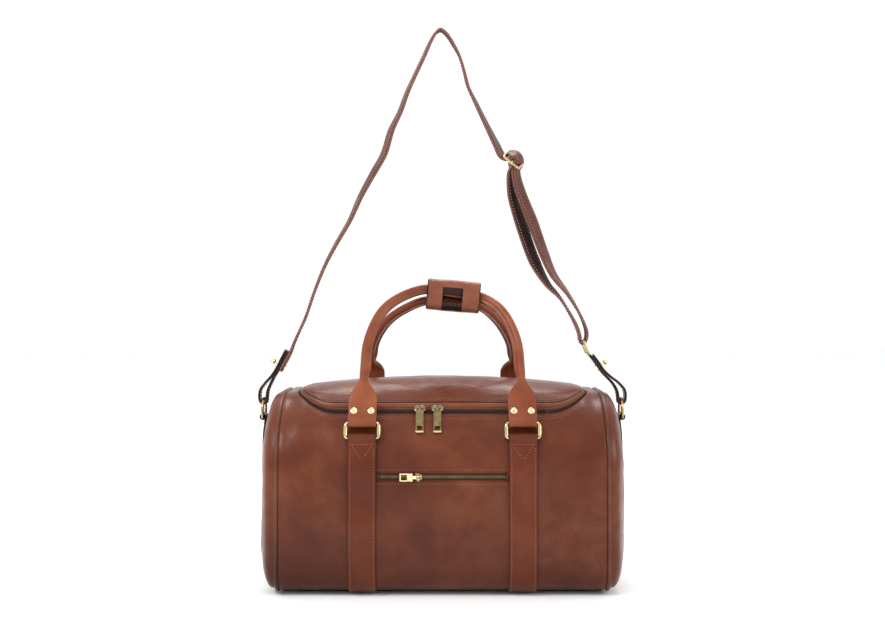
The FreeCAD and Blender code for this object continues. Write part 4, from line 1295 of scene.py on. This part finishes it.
def pull_metal(mesh, place, long):
    """A flat pull: an eye, a neck, a blade with a raised border and a window near its end."""
    for x in (-1.5, 1.5):
        ring = [place @ p for p in oval(X * x, Y * 1.55, Z * 1.55, 16)]
        mesh.tube(ring, 0.55, 0, 8, closed=True)
    mesh.brick((-1.9, 1.9), (-0.8, 0.8), (-6.6, -1.6), 0.3, place)
    mesh.brick((-4.7, 4.7), (-0.9, 0.9), (-long + 8.4, -6.0), 0.45, place)
    mesh.brick((-3.4, 3.4), (-1.15, 1.15), (-long + 9.6, -7.4), 0.3, place)
    for x in ((-4.7, -3.0), (3.0, 4.7)):
        mesh.brick(x, (-0.9, 0.9), (-long + 1.6, -long + 9.0), 0.3, place)
    mesh.brick((-4.7, 4.7), (-1.1, 1.1), (-long, -long + 2.3), 0.4, place, 1)


def make_sliders():
    lean_a = math.asin((-MOUTH_FRONT - SHOULDER_Y) / SHOULDER_R)
    for side, x in (("left", -26.6), ("right", -6.0)):
        seat = (Matrix.Translation((x, -SHOULDER_Y, SHOULDER_Z))
                @ Matrix.Rotation(lean_a, 4, "X") @ Matrix.Translation((0, 0, SHOULDER_R + 2.2)))
        body = Mesh()
        slider_metal(body, seat, 7.0, 4.8)
        sharpen(body.piece("main_slider_" + side + "_metal", [DARK_METAL], "main_slider_" + side,
                           replaces=["main_slider_" + side]))
        hang = Mesh()
        pull_metal(hang, seat @ Matrix.Translation((0, 0, 3.0)) @ Matrix.Rotation(math.radians(-77), 4, "X"),
                   36.0)
        sharpen(hang.piece("main_pull_" + side + "_metal", [AGED, BRIGHT], "main_pull_" + side,
                           replaces=["main_pull_" + side]))
    seat = Matrix.Translation((-28.0, -HALF_DEPTH - 1.9, SLIT_Z))
    body = Mesh()
    slider_metal(body, seat @ Matrix.Rotation(math.pi / 2, 4, "X") @ Matrix.Rotation(math.pi / 2, 4, "Z"),
                 4.0, 4.5)
    sharpen(body.piece("pocket_slider_metal", [ANTIQUE], "pocket_slider",
                       replaces=["pocket_slider"]))
    hang = Mesh()
    pull_metal(hang, seat @ Matrix.Translation((0, -3.9, 0)) @ Matrix.Rotation(math.pi / 2, 4, "Y"), 21.6)
    sharpen(hang.piece("pocket_pull_metal", [BRIGHT, BRIGHT], "pocket_pull",
                       replaces=["pocket_pull"]))


# ---------------------------------------------------------------- side rings and shoulder strap

SIDE_TAB = ((221.7, 148.0), (221.5, 165.0), (220.4, 183.0), (219.4, 191.0), (218.8, 196.5))
HANGER_LEFT = (
    (194.5, 280.0), (200.5, 268.5), (206.2, 257.5), (212.0, 248.5), (220.0, 239.5), (226.2, 230.5),
    (227.2, 221.0), (225.6, 215.6), (222.0, 214.0), (218.7, 215.6), (218.1, 222.0), (217.0, 230.0),
    (213.2, 239.0), (208.5, 248.5), (203.5, 256.2), (197.8, 267.1), (191.8, 278.6))
HANGER_RIGHT = (
    (187.1, 273.9), (193.2, 265.6), (199.6, 256.2), (208.0, 248.0), (219.0, 239.5), (226.2, 230.5),
    (227.2, 221.0), (225.6, 215.6), (222.0, 214.0), (218.7, 215.6), (218.1, 222.0), (216.6, 230.0),
    (211.5, 239.0), (204.5, 246.5), (197.2, 254.5), (190.8, 263.8), (184.9, 271.8), (182.6, 274.2))
# the strap's middle line in XZ, with its turn about itself in degrees
STRAP_MAIN = (
    (-201.0, 254.5, 0), (-195.2, 265.6, 0), (-189.2, 277.0, 2), (-184.0, 290.5, 4), (-177.0, 306.0, 6),
    (-170.0, 322.0, 8), (-159.0, 354.0, 8), (-146.5, 385.0, 10), (-133.0, 411.0, 12), (-115.2, 442.0, 14),
    (-101.5, 472.4, 18), (-84.7, 503.0, 22), (-72.8, 524.5, 22), (-63.7, 554.0, 20), (-53.0, 576.5, 16),
    (-43.5, 602.0, 14), (-32.0, 627.0, 12), (-23.0, 646.0, 12), (-15.0, 664.0, 10), (-9.0, 674.0, 8),
    (-2.5, 678.5, 4), (5.0, 673.0, 2), (12.5, 662.0, 2), (21.0, 646.0, 4), (27.0, 627.0, 6),
    (32.0, 608.0, 8), (41.0, 589.0, 12), (53.0, 564.0, 16), (66.0, 538.0, 22), (74.8, 521.6, 26),
    (80.9, 520.4, 28), (84.4, 523.5, 28), (88.5, 524.3, 28), (93.2, 522.6, 28), (95.6, 518.4, 28),
    (95.7, 514.2, 28), (93.9, 510.6, 28), (91.3, 506.0, 29), (91.8, 497.0, 31), (96.5, 479.0, 35),
    (111.8, 440.0, 39), (127.0, 398.5, 33), (138.0, 374.0, 24), (156.0, 350.0, 12), (172.0, 322.5, 5),
    (179.0, 303.0, 0), (178.4, 294.0, 0), (174.5, 287.9, 0), (171.0, 291.0, 0))
STRAP_RETURN = (
    (171.0, 292.3, 0), (169.8, 300.6, 0), (164.8, 313.6, 0), (145.8, 345.6, -8), (130.8, 362.1, -20),
    (114.6, 390.6, -40), (100.0, 430.6, -42), (87.2, 473.0, -34), (84.0, 500.0, -16), (86.0, 513.0, 14),
    (88.5, 520.4, 28))


def strap_band(mesh, rows, hint, half, thick, kinds, stitch, step=2.0):
    """A band along points with turns; kinds are the finishes of its face, edge, corner and back."""
    line = through([(x, 0, z) for x, z, turn in rows], step)
    marks = lengths([Vector((x, 0, z)) for x, z, turn in rows])
    at = lengths(line)
    scale = marks[-1] / at[-1]
    across, normals = [], []
    k = 0
    for way, d in zip(ways(line), at):
        while k < len(marks) - 2 and marks[k + 1] < d * scale:
            k += 1
        share = min(1.0, max(0.0, (d * scale - marks[k]) / max(1e-6, marks[k + 1] - marks[k])))
        turn = math.radians(rows[k][2] + (rows[k + 1][2] - rows[k][2]) * share)
        n = Vector((-way.z, 0, way.x)) * hint
        a = Y * math.cos(turn) + n * math.sin(turn)
        across.append(a)
        normals.append(n * math.cos(turn) - Y * math.sin(turn))
    rings = []
    t, h = thick / 2, half
    shape = ((-h, -t + 0.35), (-h, t - 0.35), (-h + 0.5, t), (-h * 0.5, t + 0.12), (0, t + 0.15),
             (h * 0.5, t + 0.12), (h - 0.5, t), (h, t - 0.35), (h, -t + 0.35), (h - 0.5, -t),
             (0, -t), (-h + 0.5, -t))
    for p, a, n in zip(line, across, normals):
        rings.append([p + a * w + n * u for w, u in shape])
    face, edge, corner, back = kinds
    mesh.loft(rings, [edge, corner, face, face, face, face, corner, edge, corner, back, back, corner])
    for off in stitch:
        for side in (1, -1):
            row = [p + a * off + n * side * (t + 0.05) for p, a, n in zip(line, across, normals)]
            mesh.stitches(row, [n * side for n in normals], 3.4, 2.4, 0.4, 4)
    return line, across, normals


def patch(mesh, line, across, normals, low, high, off, height, finish):
    """A box of stitches sewn through a strap between two of its points."""
    side = 1 if height > 0 else -1
    at = [p + n * height for p, n in zip(line[low:high], normals[low:high])]
    outs = [n * side for n in normals[low:high]]
    for w in (-off, off):
        mesh.stitches([p + a * w for p, a in zip(at, across[low:high])], outs, 2.6, 1.9, 0.38, finish)
    for k in (0, len(at) - 1):
        row = [at[k] + across[low + k] * (-off + 2 * off * j / 8) for j in range(9)]
        mesh.stitches(row, outs[k], 2.6, 1.9, 0.38, finish)


def make_sides():
    for side, name in ((-1, "left"), (1, "right")):
        mesh = Mesh()
        line = through([(side * x, 0, z) for x, z in SIDE_TAB], 2.0)
        bar = Vector((side * 222.0, 0, 198.0))
        loop = []
        for k in range(1, 15):
            a = math.radians(188 - 338 * k / 14)
            loop.append(bar + Vector((side * 3.2 * math.cos(a), 0, 3.2 * math.sin(a))))
        outs = ribbon(mesh, line + loop, Y, 12.0, 2.1,
                      [X * side] * len(line) + [(p - bar).normalized() for p in loop], 0.1)
        for off in (-9.4, 9.4):
            seam(mesh, line, Y, outs, off, 1.05)
        row = [line[-3] + Y * (-9.4 + 18.8 * k / 8) + X * side * 1.1 for k in range(9)]
        mesh.stitches(row, X * side, 3.0, 2.2, 0.42, 3)
        mesh.piece("side_tab_" + name + "_leather", [STRAP, EDGE, UNDER, THREAD], "bag",
                   replaces=["side_tab_" + name])
        dress("side_ring_" + name, ANTIQUE)
        hanger = Mesh()
        form = HANGER_LEFT if side < 0 else HANGER_RIGHT
        # the left hanger is the right one's mirror, so its outer side is on the other hand
        line, across, normals = strap_band(hanger, [(side * x, z, 0) for x, z in form],
                                           1 if side < 0 else -1, 8.0, 2.4, (0, 1, 1, 2), (-5.6, 5.6))
        hanger.piece("hanger_" + name + "_leather", [BAND, EDGE, UNDER, PINK_EDGE, PALE_THREAD],
                     "strap", replaces=["hanger_" + name])
        dress("stud_" + name, BRIGHT)


def bar_link(mesh, corners, r, middle=None):
    """A metal link: a bar with rounded corners through four corners, and a middle bar."""
    path = []
    for i, c in enumerate(corners):
        a, b = corners[i - 1], corners[(i + 1) % 4]
        for other, keep in ((a, 3.2), (a, 1.2)):
            path.append(c + (other - c).normalized() * keep)
        for keep in (1.2, 3.2):
            path.append(c + (b - c).normalized() * keep)
    mesh.tube(evenly(path + path[:1], 1.2)[:-1], r, 0, 12, closed=True)
    if middle:
        mesh.tube([middle[0], middle[0].lerp(middle[1], 0.5), middle[1]], r * 0.9, 0, 12)


def make_shoulder_strap():
    mesh = Mesh()
    kinds = (0, 3, 1, 2)
    line, across, normals = strap_band(mesh, STRAP_MAIN, 1, 11.0, 3.0, kinds, (-7.6, 7.6))
    patch(mesh, line, across, normals, 3, 20, 5.4, -1.65, 4)
    strap_band(mesh, STRAP_RETURN, 1, 11.0, 3.0, kinds, (-7.6, 7.6))
    mesh.piece("shoulder_strap_band", [BAND, EDGE, UNDER, PINK_EDGE, PALE_THREAD], "strap",
               replaces=["shoulder_strap"])
    slide = Mesh()
    middle, step = Vector((88.5, 0, 517.0)), Vector((9.2, 0, -7.6))
    out = Vector((7.6, 0, 9.2)).normalized()
    turn = math.radians(28)
    bar = (Y * math.cos(turn) + out * math.sin(turn)) * 13.2
    bar_link(slide, [middle - step - bar, middle - step + bar, middle + step + bar, middle + step - bar],
             1.6, (middle - bar, middle + bar))
    slide.piece("shoulder_slide_metal", [RING], "strap", replaces=["shoulder_slide"])
    link = Mesh()
    top, low = Vector((174.5, 0, 291.5)), Vector((180.6, 0, 275.7))
    bar_link(link, [top - Y * 13.4, top + Y * 13.4, low + Y * 13.4, low - Y * 13.4], 1.7)
    link.piece("shoulder_ring_metal", [RING], "strap", replaces=["shoulder_ring"])


# ---------------------------------------------------------------- stage

def make_stage():
    """A pale floor, soft light from all round, and the camera."""
    data = bpy.data.meshes.new("floor")
    s = 9.0
    data.from_pydata([(-s, -s, -0.0015), (s, -s, -0.0015), (s, s, -0.0015), (-s, s, -0.0015)], [],
                     [(0, 1, 2, 3)])
    floor = placed("floor", data)
    n = Nodes("floor_paint")
    grain = n.cloud(30.0, 3.0)
    n.set(Base_Color=n.mix(n.span(grain, 0.3, 0.7, 0.0, 1.0), (0.93, 0.93, 0.93), (0.90, 0.90, 0.90)),
          Roughness=0.8, Specular_IOR_Level=0.2)
    data.materials.append(n.material)
    world = bpy.data.worlds.new("studio")
    bpy.context.scene.world = world
    world.use_nodes = True
    world.node_tree.nodes["Background"].inputs["Color"].default_value = (1, 1, 1, 1)
    world.node_tree.nodes["Background"].inputs["Strength"].default_value = WORLD
    for name, place, aim, size, power in LIGHTS:
        lamp = bpy.data.lights.new(name, "AREA")
        lamp.shape = "RECTANGLE"
        lamp.size, lamp.size_y = size
        lamp.energy = power
        obj = placed(name, lamp)
        obj.location = place
        obj.rotation_euler = (Vector(aim) - Vector(place)).to_track_quat("-Z", "Y").to_euler()
    camera = bpy.data.cameras.new("camera")
    camera.lens = 49.5
    camera.sensor_width = 36.0
    camera.clip_end = 60.0
    eye = placed("camera", camera)
    eye.location = (0.0, -1.515, 0.330)
    eye.rotation_euler = (math.pi / 2, 0, 0)
    bpy.context.scene.camera = eye
    bpy.context.scene.view_settings.view_transform = "Standard"


WORLD = 1.08
LIGHTS = (
    ("key", (-1.5, -1.5, 2.1), (0, 0, 0.2), (0.9, 0.9), 36.0),
    ("fill", (2.0, -1.3, 1.3), (0, 0, 0.2), (0.8, 1.2), 20.0),
    ("top", (0.1, 1.0, 2.2), (0, 0.1, 0.2), (1.6, 0.7), 34.0),
)

make_stage()
make_front()
make_back()
make_base()
for end in (-1, 1):
    make_end(end)
make_lid()
make_zip()
make_pocket()
make_lining()
dress("base_board", BOARD)
for which in ("front", "back"):
    for label, at_x in (("left", -STRAP_X), ("right", STRAP_X)):
        make_strap(which, at_x, which + "_strap_" + label)
        make_ring(which, at_x, which + "_ring_" + label)
make_handle("front", 57.4, 34.8, 27.0, 57.4, (-5.0, 0.0, 9.0, 18.0, 30.0), (
    (-93.0, -83.5, 235.0), (-93.0, -66.2, 262.0), (-90.5, -47.0, 292.0), (-79.0, -27.9, 322.0),
    (-66.0, -18.0, 337.5), (-45.0, -9.8, 350.0), (-22.0, -6.6, 356.6), (0.0, -6.5, 354.4),
    (15.0, -6.5, 352.0), (31.0, -6.5, 350.0), (48.0, -8.0, 346.6), (66.0, -17.5, 336.5),
    (79.0, -28.5, 321.0), (90.5, -47.0, 292.0), (93.0, -66.2, 262.0), (93.0, -83.5, 235.0)))
make_handle("back", 100.0, 45.0, 19.0, 134.4, (-5.0, 0.0, 12.0, 24.0, 37.0), (
    (-93.0, 93.8, 253.8), (-93.0, 82.0, 265.8), (-91.0, 65.2, 283.0), (-83.5, 48.5, 300.0),
    (-69.0, 31.0, 318.0), (-48.0, 15.5, 332.0), (-22.0, 4.0, 342.0), (0.0, 3.5, 341.8),
    (15.0, 3.5, 340.5), (31.0, 3.6, 338.6), (49.0, 6.5, 334.5), (69.0, 28.0, 319.5),
    (83.5, 48.5, 300.0), (91.0, 65.2, 283.0), (93.0, 82.0, 265.8), (93.0, 93.8, 253.8)))
make_keeper()
make_sliders()
make_sides()
make_shoulder_strap()
for soft in LID_PIECES:
    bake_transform(soft)
